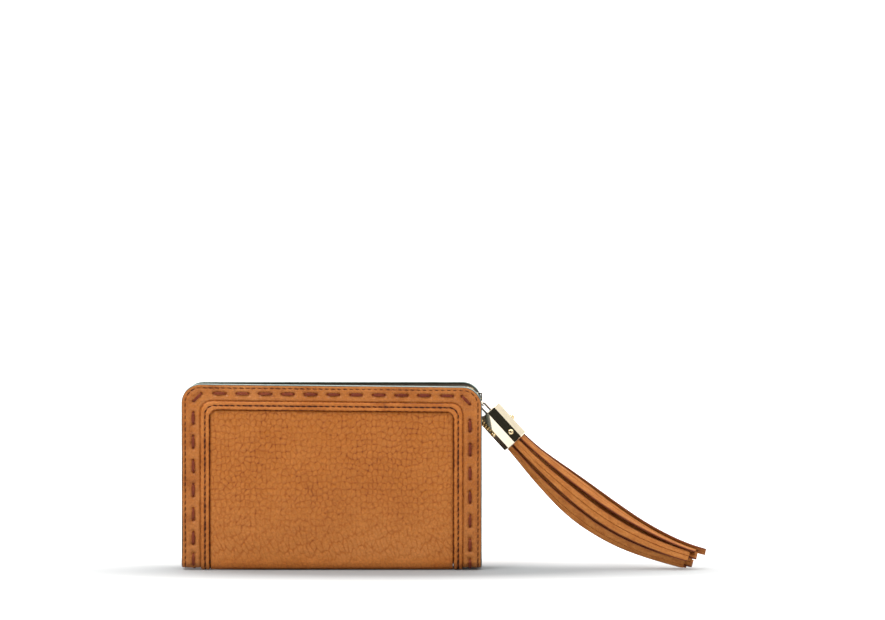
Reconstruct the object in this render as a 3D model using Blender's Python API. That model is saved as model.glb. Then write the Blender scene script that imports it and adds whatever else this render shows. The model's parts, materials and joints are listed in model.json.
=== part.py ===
# Zip around wallet standing on its folded spine, with a fringe tassel on the zip.
# Metres, +Z up. Origin: the middle of the spine's underside.
# +X runs to the tassel side, -Y is the front cover, +Y the back cover.

import math

import bmesh
import bpy
from mathutils import Matrix, Vector

MM = 0.001

# ---------------------------------------------------------------- dimensions, mm
HALF_W = 70.0            # half width of the covers
HEIGHT = 87.0            # top edge of the covers
EDGE_R = 9.0             # outer corner radius
FACE_Y = 12.1            # outer leather face from the middle plane
SKIN = 1.3               # outer leather thickness
FOLD_Y = 9.0             # centre of the spine folds, from the middle plane
FOLD_Z = 4.2             # height of the fold centres
FOLD_R = FACE_Y - FOLD_Y # radius of the leather face round a fold
GAP = 0.3                # clearance between pieces that touch

SEAM_X = 59.0            # joint between border band and grained panel, sides
SEAM_Z = 77.0            # the same joint, top
SEAM_R = 2.5
STRIP_OUT = (61.0, 79.05, 5.0)   # half width, top, corner radius of the raised strip
STRIP_IN = (56.8, 74.9, 3.7)
STRIP_T = 0.8
SPINE_HALF = 56.4        # half width of the grained panel under the spine

LACE_X = 64.4            # saddle lace line
LACE_Z = 82.6
LACE_R = 4.5
LACE_W = 1.6
LACE_T = 0.5
STITCH = 5.7             # length of one lace stitch
LEFT_STITCHES = 6
LEFT_LOW, LEFT_PITCH = 15.0, 11.2
RIGHT_LOW, RIGHT_PITCH = 12.0, 11.3
TOP_STITCHES = 11
TOP_PITCH = 10.58
TOP_SHIFT = 0.8

LEAN = 0.018             # the front cover's top edge drops this share to the right

BOARD_Y0, BOARD_Y1 = 9.7, 10.5
LINING_Y0, LINING_Y1 = 8.9, 9.4
CARD_A = (8.1, 8.6, 66.0)  # inner face, outer face, top
CARD_B = (7.3, 7.8, 52.0)

TAPE_X = 66.2            # outer face of the main zip tape, sides
TAPE_Z = 84.2            # outer face of the main zip tape, top
TAPE_R = 2.6
TAPE_T = 0.5
BEAD_T = 2.1             # zip teeth, across the tape
BEAD_W = 1.6
OPEN_HALF = 0.8          # half gap of the open right-hand run
SHUT_HALF = 0.15         # half gap of the closed runs

SLIDER_Z = 77.8
SLIDER_L = 8.8
BAIL_X = 68.95           # pull ring axis on the slider's bail
BAIL_Z = 79.4
RING_L = 3.8             # pull ring, axis to far wire
RING_DIR = math.radians(-63.0)
WIRE = 0.35

CAP_DIR = math.radians(-47.5)
CAP_APOTHEM = 6.5        # ten flat sides
CAP_TURN = math.radians(-77.0)   # one side faces the front, turned a little outwards
CAP_LEN = 19.0
CAP_WALL = 0.75
CAP_TOP = 1.2
CAP_OFF = 3.4            # pull ring's far wire to the cap's top

DIV_Z = 6.0              # divider hinge height
COIN_OUT, COIN_IN = 2.8, 2.3
COIN_X = 56.0
COIN_TOP = 70.0

OUTER_STRANDS = 7
INNER_STRANDS = 4
STRAND_T = 1.0


# ---------------------------------------------------------------- scene and helpers
for old in list(bpy.data.objects):
    bpy.data.objects.remove(old, do_unlink=True)

SCENE = bpy.context.scene.collection


def material(name, colour, rough, metal=0.0):
    m = bpy.data.materials.new(name)
    m.use_nodes = True
    b = m.node_tree.nodes["Principled BSDF"]
    b.inputs["Base Color"].default_value = (*colour, 1.0)
    b.inputs["Roughness"].default_value = rough
    b.inputs["Metallic"].default_value = metal
    m.diffuse_color = (*colour, 1.0)
    return m


TAN = (0.47, 0.17, 0.045)
TAN_LIGHT = (0.52, 0.21, 0.07)
LACE_RED = (0.15, 0.035, 0.015)
LINING_BROWN = (0.10, 0.045, 0.02)
TAPE_DARK = (0.035, 0.022, 0.015)
BOARD_GREY = (0.30, 0.27, 0.22)
GOLD = (0.80, 0.66, 0.42)
BRASS = (0.75, 0.58, 0.30)


def add(name, bm, colour, rough=0.6, metal=0.0, origin=(0, 0, 0), turn=None, smooth=False, parent=None):
    """Add a mesh given in world millimetres, with its object origin at a chosen point."""
    bmesh.ops.remove_doubles(bm, verts=bm.verts, dist=1e-5)
    bmesh.ops.recalc_face_normals(bm, faces=bm.faces)
    big = [f for f in bm.faces if len(f.verts) > 4]
    bmesh.ops.triangulate(bm, faces=big, ngon_method="EAR_CLIP")
    place = Matrix.Translation(Vector(origin))
    if turn is not None:
        place = place @ turn.to_4x4()
    bmesh.ops.transform(bm, matrix=place.inverted(), verts=bm.verts)
    bmesh.ops.scale(bm, vec=(MM, MM, MM), verts=bm.verts)
    mesh = bpy.data.meshes.new(name)
    bm.to_mesh(mesh)
    bm.free()
    o = bpy.data.objects.new(name, mesh)
    o.data.materials.append(material(name, colour, rough, metal))
    o.location = Vector(origin) * MM
    if turn is not None:
        o.rotation_euler = turn.to_euler()
    if smooth:
        mesh.shade_smooth()
        mesh.set_sharp_from_angle(angle=math.radians(40))
    SCENE.objects.link(o)
    if parent is not None:
        o.parent = parent
        o.matrix_parent_inverse = parent.matrix_basis.inverted()
    return o


def guide(o):
    o.hide_render = True
    o.display_type = "WIRE"
    return o


def pivot(name, at, parent=None):
    e = bpy.data.objects.new(name, None)
    e.location = Vector(at) * MM
    SCENE.objects.link(e)
    if parent is not None:
        e.parent = parent
        e.matrix_parent_inverse = parent.matrix_basis.inverted()
        bpy.context.view_layer.update()
    return e


def cut(o, tool, how="DIFFERENCE"):
    m = o.modifiers.new(how.title(), "BOOLEAN")
    m.operation = how
    m.solver = "EXACT"
    m.object = tool
    guide(tool)


def loft(rings, closed=False):
    """Join rings of points, given in order, into one closed body."""
    bm = bmesh.new()
    rows = [[bm.verts.new(p) for p in ring] for ring in rings]
    n = len(rows[0])
    pairs = list(zip(rows, rows[1:]))
    if closed:
        pairs.append((rows[-1], rows[0]))
    for a, b in pairs:
        for i in range(n):
            j = (i + 1) % n
            bm.faces.new((a[i], a[j], b[j], b[i]))
    if not closed:
        bm.faces.new(rows[0])
        bm.faces.new(rows[-1])
    return bm


def block(bm, x0, x1, y0, y1, z0, z1):
    v = [bm.verts.new((x, y, z)) for x in (x0, x1) for y in (y0, y1) for z in (z0, z1)]
    for f in ((0, 1, 3, 2), (4, 6, 7, 5), (0, 4, 5, 1), (2, 3, 7, 6), (0, 2, 6, 4), (1, 5, 7, 3)):
        bm.faces.new([v[i] for i in f])
    return v


def box(x0, x1, y0, y1, z0, z1):
    bm = bmesh.new()
    block(bm, x0, x1, y0, y1, z0, z1)
    return bm


def arch(half, top, r, low, n=5, mids=()):
    """Points along an arch: up the left side, over the top and down the right."""
    pts = [(-half, low)]
    for k in range(n + 1):
        a = math.pi - 0.5 * math.pi * k / n
        pts.append((-half + r + r * math.cos(a), top - r + r * math.sin(a)))
    for m in mids:
        pts.append((m, top))
    for k in range(n + 1):
        a = 0.5 * math.pi - 0.5 * math.pi * k / n
        pts.append((half - r + r * math.cos(a), top - r + r * math.sin(a)))
    pts.append((half, low))
    return pts


def lean(p):
    """The front cover's slight droop to the right."""
    x, y, z = p
    return (x, y, z * (1.0 - LEAN * (x + HALF_W) / (2 * HALF_W)))


def skin_point(side, x, depth, u):
    """A point below the outer leather face; u is height, and runs round the fold and under the spine."""
    if u >= FOLD_Z:
        y, z = FACE_Y - depth, u
    else:
        arc = 0.5 * math.pi * FOLD_R
        run = FOLD_Z - u
        a = min(run, arc) / FOLD_R
        rr = FOLD_R - depth
        y = FOLD_Y + rr * math.cos(a) - max(0.0, run - arc)
        z = FOLD_Z - rr * math.sin(a)
    p = (x, side * y, z)
    return lean(p) if side < 0 and u > FOLD_Z else p


ARC_U = FOLD_Z - 0.5 * math.pi * FOLD_R      # u where the flat of the spine starts
SPINE_END_U = ARC_U - (FOLD_Y + FOLD_Y - GAP)  # u at the front end of the spine


def leg_heights(back):
    """Extra u stations from the spine's front end up to the fold's top."""
    if not back:
        return []
    return [SPINE_END_U] + [FOLD_Z - 0.5 * math.pi * FOLD_R * k / 4 for k in range(4, 0, -1)]


def run_u(points, back, low):
    """Give the arch its legs round the fold and under the spine on the back cover."""
    extra = leg_heights(back)
    return [(points[0][0], u) for u in extra] + points + [(points[-1][0], u) for u in reversed(extra)]


# ---------------------------------------------------------------- moving frames
root = pivot("case", (0, 0, 0))
# the leather turns at its outer face, just inside the bottom front edge
HINGE_Y = -(FACE_Y + GAP + STRIP_T) + 0.9
HINGE_Z = 0.9
cover = pivot("front_cover", (0, HINGE_Y, HINGE_Z), root)
divider = pivot("divider", (0, 0, DIV_Z), root)
body_of = {1: root, -1: cover}
tag = {1: "back", -1: "front"}


# ---------------------------------------------------------------- border bands
def band(side):
    back = side > 0
    low = FOLD_Z if back else FOLD_Z + GAP
    lines = [
        run_u(arch(HALF_W, HEIGHT, EDGE_R, low), back, low),
        run_u(arch(HALF_W - 0.6, HEIGHT - 0.6, EDGE_R - 0.6, low), back, low),
        run_u(arch(LACE_X + 1.1, LACE_Z + 1.1, LACE_R + 1.1, low), back, low),
        run_u(arch(LACE_X - 1.1, LACE_Z - 1.1, LACE_R - 1.1, low), back, low),
        run_u(arch(SEAM_X, SEAM_Z, SEAM_R, low), back, low),
    ]
    rings = []
    for o, b, g1, g2, i in zip(*lines):
        rings.append([
            skin_point(side, *_d(o, 0.6)), skin_point(side, *_d(b, 0.0)), skin_point(side, *_d(i, 0.0)),
            skin_point(side, *_d(i, SKIN)), skin_point(side, *_d(g2, SKIN)), skin_point(side, *_d(g2, 0.55)),
            skin_point(side, *_d(g1, 0.55)), skin_point(side, *_d(g1, SKIN)), skin_point(side, *_d(o, SKIN)),
        ])
    return add("band_" + tag[side], loft(rings), TAN_LIGHT, 0.5, smooth=False, parent=body_of[side])


def _d(p, depth):
    return (p[0], depth, p[1])


def lace_line(s):
    """Point and outward normal at a distance along the lace line from its left foot."""
    up = LACE_Z - LACE_R
    arc = 0.5 * math.pi * LACE_R
    across = 2 * (LACE_X - LACE_R)
    if s < up:
        return (-LACE_X, s), (-1.0, 0.0)
    s -= up
    if s < arc:
        a = math.pi - s / LACE_R
        return (-LACE_X + LACE_R + LACE_R * math.cos(a), up + LACE_R * math.sin(a)), (math.cos(a), math.sin(a))
    s -= arc
    if s < across:
        return (-LACE_X + LACE_R + s, LACE_Z), (0.0, 1.0)
    s -= across
    if s < arc:
        a = 0.5 * math.pi - s / LACE_R
        return (LACE_X - LACE_R + LACE_R * math.cos(a), up + LACE_R * math.sin(a)), (math.cos(a), math.sin(a))
    s -= arc
    return (LACE_X, up - s), (1.0, 0.0)


def stitch_centres():
    up = LACE_Z - LACE_R
    arc = 0.5 * math.pi * LACE_R
    across = 2 * (LACE_X - LACE_R)
    left = [LEFT_LOW + LEFT_PITCH * k for k in range(LEFT_STITCHES)]
    top0 = up + arc + (LACE_X - LACE_R) + TOP_SHIFT
    mid = TOP_STITCHES // 2
    top = [top0 + TOP_PITCH * (k - mid) for k in range(TOP_STITCHES)]
    end = up + arc + across + arc
    right = [end + up - (RIGHT_LOW + RIGHT_PITCH * k) for k in range(LEFT_STITCHES - 1, -1, -1)]
    return left + [up + 0.5 * arc] + top + [end - 0.5 * arc] + right


def lace(side):
    """One thong: it runs behind the leather and comes out over it at each stitch."""
    leg = 0.4
    under0, under1 = 0.85, 1.25
    over0, over1 = -GAP, -GAP - LACE_T
    rings = []
    hole_at = []

    def ring(s1, d1, s2, d2):
        out = []
        for s, d in ((s1, d1), (s2, d2)):
            (x, z), (nx, nz) = lace_line(s)
            pair = [skin_point(side, x + w * nx, d, z + w * nz) for w in (-0.5 * LACE_W, 0.5 * LACE_W)]
            out.append(pair)
        rings.append([out[0][0], out[0][1], out[1][1], out[1][0]])

    centres = stitch_centres()
    s0 = centres[0] - 0.5 * STITCH - 3.0
    ring(s0, under0, s0, under1)
    last = s0
    for c in centres:
        a, b = c - 0.5 * STITCH, c + 0.5 * STITCH
        gap_mid = 0.5 * (last + a)
        if a - last > 3.0 and c != centres[0]:
            ring(gap_mid, under0, gap_mid, under1)
        ring(a - leg, under0, a + leg, under1)
        ring(a - leg, over1, a + leg, over0)
        ring(c, over1 - 0.1, c, over0)
        ring(b + leg, over1, b - leg, over0)
        ring(b + leg, under0, b - leg, under1)
        hole_at += [a, b]
        last = b
    ring(last + 3.0, under0, last + 3.0, under1)
    add("lace_" + tag[side], loft(rings), LACE_RED, 0.55, parent=body_of[side])
    return hole_at


def lace_holes(side, at):
    bm = bmesh.new()
    for s in at:
        corners = []
        for d in (-1.2, 0.8):
            for ds, w in ((-0.7, -1.05), (-0.7, 1.05), (0.7, 1.05), (0.7, -1.05)):
                (x, z), (nx, nz) = lace_line(s)
                tx, tz = nz, -nx
                corners.append(bm.verts.new(skin_point(side, x + w * nx + ds * tx, d, z + w * nz + ds * tz)))
        for f in ((0, 1, 2, 3), (7, 6, 5, 4), (0, 4, 5, 1), (1, 5, 6, 2), (2, 6, 7, 3), (3, 7, 4, 0)):
            bm.faces.new([corners[i] for i in f])
    return add("lace_holes_" + tag[side], bm, LACE_RED)


for side in (1, -1):
    b = band(side)
    cut(b, lace_holes(side, lace(side)))


# ---------------------------------------------------------------- raised strips
def strip(side):
    back = side > 0
    low = FOLD_Z if back else FOLD_Z + GAP
    out = run_u(arch(*STRIP_OUT, low), back, low)
    inn = run_u(arch(*STRIP_IN, low), back, low)
    rings = []
    for o, i in zip(out, inn):
        m1 = (o[0] + 0.12 * (i[0] - o[0]), o[1] + 0.12 * (i[1] - o[1]))
        m2 = (o[0] + 0.88 * (i[0] - o[0]), o[1] + 0.88 * (i[1] - o[1]))
        top, base = -GAP - STRIP_T, -GAP
        rings.append([
            skin_point(side, *_d(o, base)), skin_point(side, *_d(o, top + 0.35)), skin_point(side, *_d(m1, top)),
            skin_point(side, *_d(m2, top)), skin_point(side, *_d(i, top + 0.35)), skin_point(side, *_d(i, base)),
        ])
    add("strip_" + tag[side], loft(rings), TAN, 0.5, parent=body_of[side])


strip(1)
strip(-1)


# ---------------------------------------------------------------- grained panel
def oval(depth, k, n=5):
    """The grained panel's fold comes right down to the table."""
    a = 0.5 * math.pi * k / n
    return FOLD_Y + (FOLD_R - depth) * math.cos(a), FOLD_Z - (FOLD_Z - depth) * math.sin(a)


def panel_row(side, half, y0, z0, y1, z1):
    pts = [(-half, side * y0, z0), (half, side * y0, z0), (half, side * y1, z1), (-half, side * y1, z1)]
    return pts


def panel_top(side):
    """Rows from the foot of the face up to its rounded top corners."""
    rows = []
    half, top, r = SEAM_X - GAP, SEAM_Z - GAP, SEAM_R
    for z in (FOLD_Z + 1.6, 0.5 * top):
        rows.append((half, z))
    for k in range(5):
        a = 0.5 * math.pi * k / 4
        rows.append((half - r + r * math.cos(a), top - r + r * math.sin(a)))
    return rows


rings = [panel_row(1, SPINE_HALF, -(FOLD_Y - GAP), 0.0, -(FOLD_Y - GAP), SKIN)]
rings += [panel_row(1, SPINE_HALF, *oval(0.0, k), *oval(SKIN, k)) for k in range(5, -1, -1)]
rings += [panel_row(1, h, FACE_Y, z, FACE_Y - SKIN, z) for h, z in panel_top(1)]
add("panel_back", loft(rings), TAN, 0.55, parent=root)

rings = [panel_row(-1, SPINE_HALF, FACE_Y, FOLD_Z + GAP, FACE_Y - SKIN, FOLD_Z + GAP)]
rings += [panel_row(-1, h, FACE_Y, z, FACE_Y - SKIN, z) for h, z in panel_top(-1)]
rings = [[lean(p) for p in ring] for ring in rings]
add("panel_front", loft(rings), TAN, 0.55, parent=cover)

# the soft folds at the bottom front edge
rings = [panel_row(-1, SPINE_HALF, *oval(0.0, k), *oval(SKIN, k)) for k in range(5, -1, -1)]
add("panel_fold", loft(rings), TAN, 0.55, parent=root)
for sign, where in ((-1, "left"), (1, "right")):
    for name, x0, x1, d0, d1, colour in (
        ("band_fold_", SEAM_X, HALF_W, 0.0, SKIN, TAN_LIGHT),
        ("strip_fold_", STRIP_IN[0], STRIP_OUT[0], -GAP - STRIP_T, -GAP, TAN),
    ):
        rings = []
        for k in range(5):
            u = FOLD_Z - 0.5 * math.pi * FOLD_R * k / 4
            rings.append([
                skin_point(-1, sign * x0, d0, u), skin_point(-1, sign * x1, d0, u),
                skin_point(-1, sign * x1, d1, u), skin_point(-1, sign * x0, d1, u),
            ])
        add(name + where, loft(rings), colour, 0.5, parent=root)


# ---------------------------------------------------------------- boards and linings
def plate(name, side, half, top, r, low, y0, y1, colour, rough):
    rows = [(half, low)]
    for k in range(5):
        a = 0.5 * math.pi * k / 4
        rows.append((half - r + r * math.cos(a), top - r + r * math.sin(a)))
    rings = [panel_row(side, h, y0, z, y1, z) for h, z in rows]
    if side < 0:
        rings = [[lean(p) for p in ring] for ring in rings]
    return add(name, loft(rings), colour, rough, parent=body_of[side])


for side in (1, -1):
    plate("board_" + tag[side], side, HALF_W - 0.6, HEIGHT - 0.6, EDGE_R - 0.6, FOLD_Z + 0.6,
          BOARD_Y0, BOARD_Y1, BOARD_GREY, 0.9)
    plate("lining_" + tag[side], side, 60.0, 78.0, 3.0, FOLD_Z + 0.9, LINING_Y0, LINING_Y1, LINING_BROWN, 0.8)
    for n, (y0, y1, top) in enumerate((CARD_A, CARD_B), 1):
        plate(f"card_slot_{tag[side]}_{n}", side, 57.0, top, 1.5, FOLD_Z + 1.2, y0, y1, LINING_BROWN, 0.6)

add("board_spine", box(-69.0, 69.0, -8.4, 8.4, 2.7, 3.5), BOARD_GREY, 0.9, parent=root)
add("lining_spine", box(-68.0, 68.0, -8.2, 8.2, 3.8, 4.3), LINING_BROWN, 0.8, parent=root)


# ---------------------------------------------------------------- main zip
def open_half(x, z):
    """Half gap between the two rows of teeth: shut on the left and top, open down the right."""
    if x > 0 and z < TAPE_Z - 0.5 * TAPE_R:
        return OPEN_HALF
    if x > 30.0:
        t = (x - 30.0) / 30.0
        return SHUT_HALF + (OPEN_HALF - SHUT_HALF) * min(1.0, t)
    return SHUT_HALF


ZIP_MIDS = (0.0, 30.0, 52.0)


def zip_outline(inset, radius, low):
    return arch(TAPE_X - inset, TAPE_Z - inset, radius, low, n=4, mids=ZIP_MIDS)


def zip_body(name, side, corners, colour, rough, metal=0.0):
    """corners: for each corner of the section, its arch outline and how far it stands from the middle plane."""
    outlines = [(zip_outline(inset, radius, FOLD_Z + 1.5), stand) for inset, radius, stand in corners]
    rings = []
    for k in range(len(outlines[0][0])):
        e = open_half(*outlines[0][0][k])
        rings.append([(line[k][0], side * stand(e), line[k][1]) for line, stand in outlines])
    return add(name, loft(rings), colour, rough, metal, parent=body_of[side])


for side in (1, -1):
    edge = lambda e: e + BEAD_W + GAP
    zip_body("zip_tape_" + tag[side], side, (
        (0.0, TAPE_R, edge), (0.0, TAPE_R, lambda e: LINING_Y1), (5.4, 1.0, lambda e: LINING_Y1),
        (5.4, 1.0, lambda e: LINING_Y0), (TAPE_T, TAPE_R - TAPE_T, lambda e: LINING_Y0),
        (TAPE_T, TAPE_R - TAPE_T, edge)), TAPE_DARK, 0.9)
    out = 0.5 * TAPE_T - 0.5 * BEAD_T
    inn = 0.5 * TAPE_T + 0.5 * BEAD_T
    zip_body("zip_teeth_" + tag[side], side, (
        (out, TAPE_R - out, lambda e: e), (out, TAPE_R - out, lambda e: e + BEAD_W - 0.5),
        (out + 0.5, TAPE_R - out - 0.5, lambda e: e + BEAD_W), (inn - 0.5, TAPE_R - inn + 0.5, lambda e: e + BEAD_W),
        (inn, TAPE_R - inn, lambda e: e + BEAD_W - 0.5), (inn, TAPE_R - inn, lambda e: e)), BRASS, 0.35, 1.0)


# ---------------------------------------------------------------- side gussets
for sign, where in ((-1, "left"), (1, "right")):
    zig = [(62.9, -8.55), (60.9, -4.6), (62.9, 0.0), (60.9, 4.6), (62.9, 8.55)]
    rings = []
    for x, y in zig:
        rings.append([(sign * (x + dx), y, z) for dx, z in ((0.0, 5.2), (0.4, 5.2), (0.4, 58.0), (0.0, 58.0))])
    add("gusset_" + where, loft(rings), LINING_BROWN, 0.8, parent=root)


# ---------------------------------------------------------------- sliders and rings
def slider(name, turn, at, length, half_w, post, gap_in, gap_out, plate_t, bail_c, bail_h, parent):
    """Two plates joined by a post, with a bail; local X is the way of travel, local Z points out."""
    def place(bm):
        bmesh.ops.transform(bm, matrix=Matrix.Translation(Vector(at)) @ turn.to_4x4(), verts=bm.verts)
        return bm
    half = 0.5 * length

    def wing(z0, z1, b):
        rings = []
        for z, s in ((z0, 1.0), (z1, b)):
            rings.append([(-half * s, -half_w * 0.8 * s, z), (half * s, -half_w * s, z),
                          (half * s, half_w * s, z), (-half * s, half_w * 0.8 * s, z)])
        return place(loft(rings))
    o = add(name, wing(gap_out, gap_out + plate_t, 0.9), GOLD, 0.3, 1.0, origin=at, turn=turn, parent=parent)
    inner = add(name + "_inner", wing(-gap_in, -gap_in - plate_t, 0.9), GOLD, origin=at, turn=turn)
    mid = add(name + "_post", place(box(0.1 * length, 0.42 * length, -post, post, -gap_in - 0.4 * plate_t,
              gap_out + 0.4 * plate_t)), GOLD, origin=at, turn=turn)
    b0, b1 = bail_c - bail_h, bail_c + bail_h
    foot = gap_out + 0.5 * plate_t
    hole = gap_out + plate_t + 1.4
    roof = hole + 0.6
    rings = []
    for (xa, za), (xb, zb) in (((b0, foot), (b0 + 0.7, foot)), ((b0, roof - 0.3), (b0 + 0.7, hole)),
                               ((b0 + 0.4, roof), (b0 + 0.7, hole)), ((b1 - 0.4, roof), (b1 - 0.7, hole)),
                               ((b1, roof - 0.3), (b1 - 0.7, hole)), ((b1, foot), (b1 - 0.7, foot))):
        rings.append([(xa, -0.8, za), (xb, -0.8, zb), (xb, 0.8, zb), (xa, 0.8, za)])
    bm = bmesh.new()
    rows = [[bm.verts.new(p) for p in r] for r in rings]
    for a, b in zip(rows, rows[1:]):
        for i in range(4):
            j = (i + 1) % 4
            va = [a[i], a[j], b[j], b[i]]
            seen = []
            for v in va:
                if all((v.co - w.co).length > 1e-6 for w in seen):
                    seen.append(v)
            if len(seen) > 2:
                bm.faces.new(seen)
    bm.faces.new(rows[0])
    bm.faces.new(rows[-1])
    bail = add(name + "_bail", place(bm), GOLD, origin=at, turn=turn)
    for t in (inner, mid, bail):
        cut(o, t, "UNION")
    return o


def ring_pull(name, at, angle, length, half_w, wire, parent, plane="XZ"):
    """A closed wire ring through a bail: near wire on the hinge axis, which runs along Y."""
    d = Vector((math.cos(angle), 0, math.sin(angle)))
    n = Vector((-d.z, 0, d.x))
    y = Vector((0, 1, 0))
    path = []
    r = min(0.45 * length, 0.9)
    for cx, cy, a0 in ((length - r, half_w - r, 0.0), (r, half_w - r, 90.0), (r, -half_w + r, 180.0), (length - r, -half_w + r, 270.0)):
        for k in range(4):
            a = math.radians(a0 + 30.0 * k)
            path.append((cx + r * math.cos(a), cy + r * math.sin(a), a))
    rings = []
    for px, py, a in path:
        out = d * math.cos(a) + y * math.sin(a)
        c = Vector(at) + d * px + y * py
        rings.append([c + out * wire * math.cos(b) + n * wire * math.sin(b)
                      for b in (2 * math.pi * k / 6 for k in range(6))])
    return add(name, loft(rings, closed=True), GOLD, 0.25, 1.0, origin=at, smooth=True, parent=parent)


slider_at = (TAPE_X - 0.5 * TAPE_T, 0.0, SLIDER_Z)
down = Matrix(((0, 0, 1), (0, 1, 0), (-1, 0, 0)))   # local X -> -Z, local Z -> +X
zip_frame = pivot("zip_run", slider_at, root)
half_bead = 0.5 * BEAD_T + GAP
slider("zip_slider", down, slider_at, SLIDER_L, 3.6, 0.5, half_bead, half_bead, 0.9,
       SLIDER_Z - 80.2, 2.1, zip_frame)

ring_axis = (BAIL_X, 0.0, BAIL_Z)
ring_frame = pivot("ring_turn", ring_axis, zip_frame)
ring_pull("pull_ring", ring_axis, RING_DIR, RING_L, 2.5, WIRE, ring_frame)
far = Vector((BAIL_X + RING_L * math.cos(RING_DIR), 0.0, BAIL_Z + RING_L * math.sin(RING_DIR)))

# ---------------------------------------------------------------- tassel
tassel = pivot("tassel_swing", tuple(far), ring_frame)
D = Vector((math.cos(CAP_DIR), 0, math.sin(CAP_DIR)))
N = Vector((-D.z, 0, D.x))
Y = Vector((0, 1, 0))
cap_top = far + D * CAP_OFF

# leather loop round the ring, both ends down inside the cap
strap_r, strap_t, strap_w = 1.25, 0.9, 1.6
path = []
for s in (6.6, 3.0):
    path.append((D * s + N * strap_r, N))
for k in range(1, 8):
    a = math.pi * k / 8
    out = N * math.cos(a) - D * math.sin(a)
    path.append((out * strap_r, out))
for s in (3.0, 6.6):
    path.append((D * s - N * strap_r, -N))
path.insert(2, (N * strap_r, N))
path.insert(-2, (-N * strap_r, -N))
rings = []
for c, out in path:
    c = far + c
    rings.append([c + out * 0.5 * strap_t - Y * strap_w, c + out * 0.5 * strap_t + Y * strap_w,
                  c - out * 0.5 * strap_t + Y * strap_w, c - out * 0.5 * strap_t - Y * strap_w])
add("tassel_loop", loft(rings), TAN, 0.55, origin=tuple(far), parent=tassel)


def prism(apothem, s0, s1, bevel=0.0):
    rows = [(s0, apothem - bevel), (s0 + bevel, apothem), (s1 - bevel, apothem), (s1, apothem - bevel)] if bevel else [(s0, apothem), (s1, apothem)]
    rings = []
    for s, ap in rows:
        r = ap / math.cos(math.radians(18.0))
        rings.append([cap_top + D * s + N * r * math.cos(a) + Y * r * math.sin(a)
                      for a in (CAP_TURN + math.radians(18.0 + 36.0 * k) for k in range(10))])
    return loft(rings)


def drum(centre, axis, r, half, n=12):
    axis = Vector(axis).normalized()
    side = axis.orthogonal().normalized()
    up = axis.cross(side)
    rings = [[centre + axis * h + side * r * math.cos(2 * math.pi * k / n) + up * r * math.sin(2 * math.pi * k / n)
              for k in range(n)] for h in (-half, half)]
    return loft(rings)


cap = add("tassel_cap", prism(CAP_APOTHEM, 0.0, CAP_LEN, 0.3), GOLD, 0.15, 1.0, origin=tuple(far), parent=tassel)
cut(cap, add("cap_bore", prism(CAP_APOTHEM - CAP_WALL, CAP_TOP, CAP_LEN + 1.0), GOLD))
slot_bm = bmesh.new()
slot_v = block(slot_bm, -0.5, CAP_TOP + 0.5, -2.0, 2.0, -2.1, 2.1)
for v in slot_v:
    v.co = cap_top + D * v.co.x + N * v.co.y + Y * v.co.z
cut(cap, add("cap_slot", slot_bm, GOLD))

# three small slotted screws through the cap wall into the plug
screw_at = ((14.0, -77.0), (9.5, -5.0), (9.5, -149.0))
for k, (s, ang) in enumerate(screw_at, 1):
    a = math.radians(ang)
    out = N * math.cos(a) + Y * math.sin(a)
    c = cap_top + D * s
    cut(cap, add(f"screw_hole_{k}", drum(c + out * (CAP_APOTHEM - 0.5), out, 0.85, 1.2, 10), GOLD))
    rows = ((CAP_APOTHEM - 1.0, 0.55), (CAP_APOTHEM + GAP, 0.55), (CAP_APOTHEM + GAP, 1.25), (CAP_APOTHEM + 0.75, 1.1), (CAP_APOTHEM + 0.9, 0.6))
    rings = []
    o1 = D
    o2 = out.cross(D)
    for h, r in rows:
        rings.append([c + out * h + o1 * r * math.cos(2 * math.pi * j / 10) + o2 * r * math.sin(2 * math.pi * j / 10)
                      for j in range(10)])
    add(f"cap_screw_{k}", loft(rings), BRASS, 0.25, 1.0, origin=tuple(far), smooth=True, parent=tassel)

add("tassel_core", drum(cap_top + D * 9.0, D, 5.3, 5.4, 16), TAN, 0.7, origin=tuple(far), smooth=True, parent=tassel)

# fringe: flat leather strips hanging in two rings from the plug
P0 = cap_top + D * 14.9
P1 = P0 + D * 35.0
P2 = Vector((135.0, 0, 12.2))
P3 = Vector((173.5, 0, 3.8))


def centre_line(t):
    u = 1.0 - t
    p = P0 * u**3 + P1 * 3 * u * u * t + P2 * 3 * u * t * t + P3 * t**3
    v = (P1 - P0) * 3 * u * u + (P2 - P1) * 6 * u * t + (P3 - P2) * 3 * t * t
    p.y = -7.0 * t * t
    v.y = -14.0 * t
    return p, v.normalized()


def swell(t, start, middle, end):
    if t < 0.45:
        k = t / 0.45
        return start + (middle - start) * (3 * k * k - 2 * k**3)
    k = (t - 0.45) / 0.55
    return middle + (end - middle) * (3 * k * k - 2 * k**3)


def strand(name, ang, across, deep, width, t_end, turn):
    steps = 9
    while True:
        rings = []
        for k in range(steps + 1):
            t = t_end * k / steps
            p, d = centre_line(t)
            n = Y.cross(d).normalized() * -1.0
            n = d.cross(Y).normalized() * -1.0
            if n.z < 0:
                n = -n
            yy = n.cross(d).normalized()
            if yy.y < 0:
                yy = -yy
            a = swell(t, *across)
            b = swell(t, *deep)
            th = ang + turn * t
            c = p + n * a * math.cos(th) + yy * b * math.sin(th)
            w = (n * (-a * math.sin(th)) + yy * b * math.cos(th)).normalized()
            o = w.cross(d).normalized()
            half = 0.5 * swell(t, *width)
            h = 0.5 * STRAND_T
            rings.append([c + w * half + o * h, c - w * half + o * h, c - w * half - o * h, c + w * half - o * h])
        if min(p.z for ring in rings for p in ring) > 0.15 or t_end < 0.6:
            break
        t_end -= 0.01
    add(name, loft(rings), TAN, 0.6, origin=tuple(far), parent=tassel)


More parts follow.
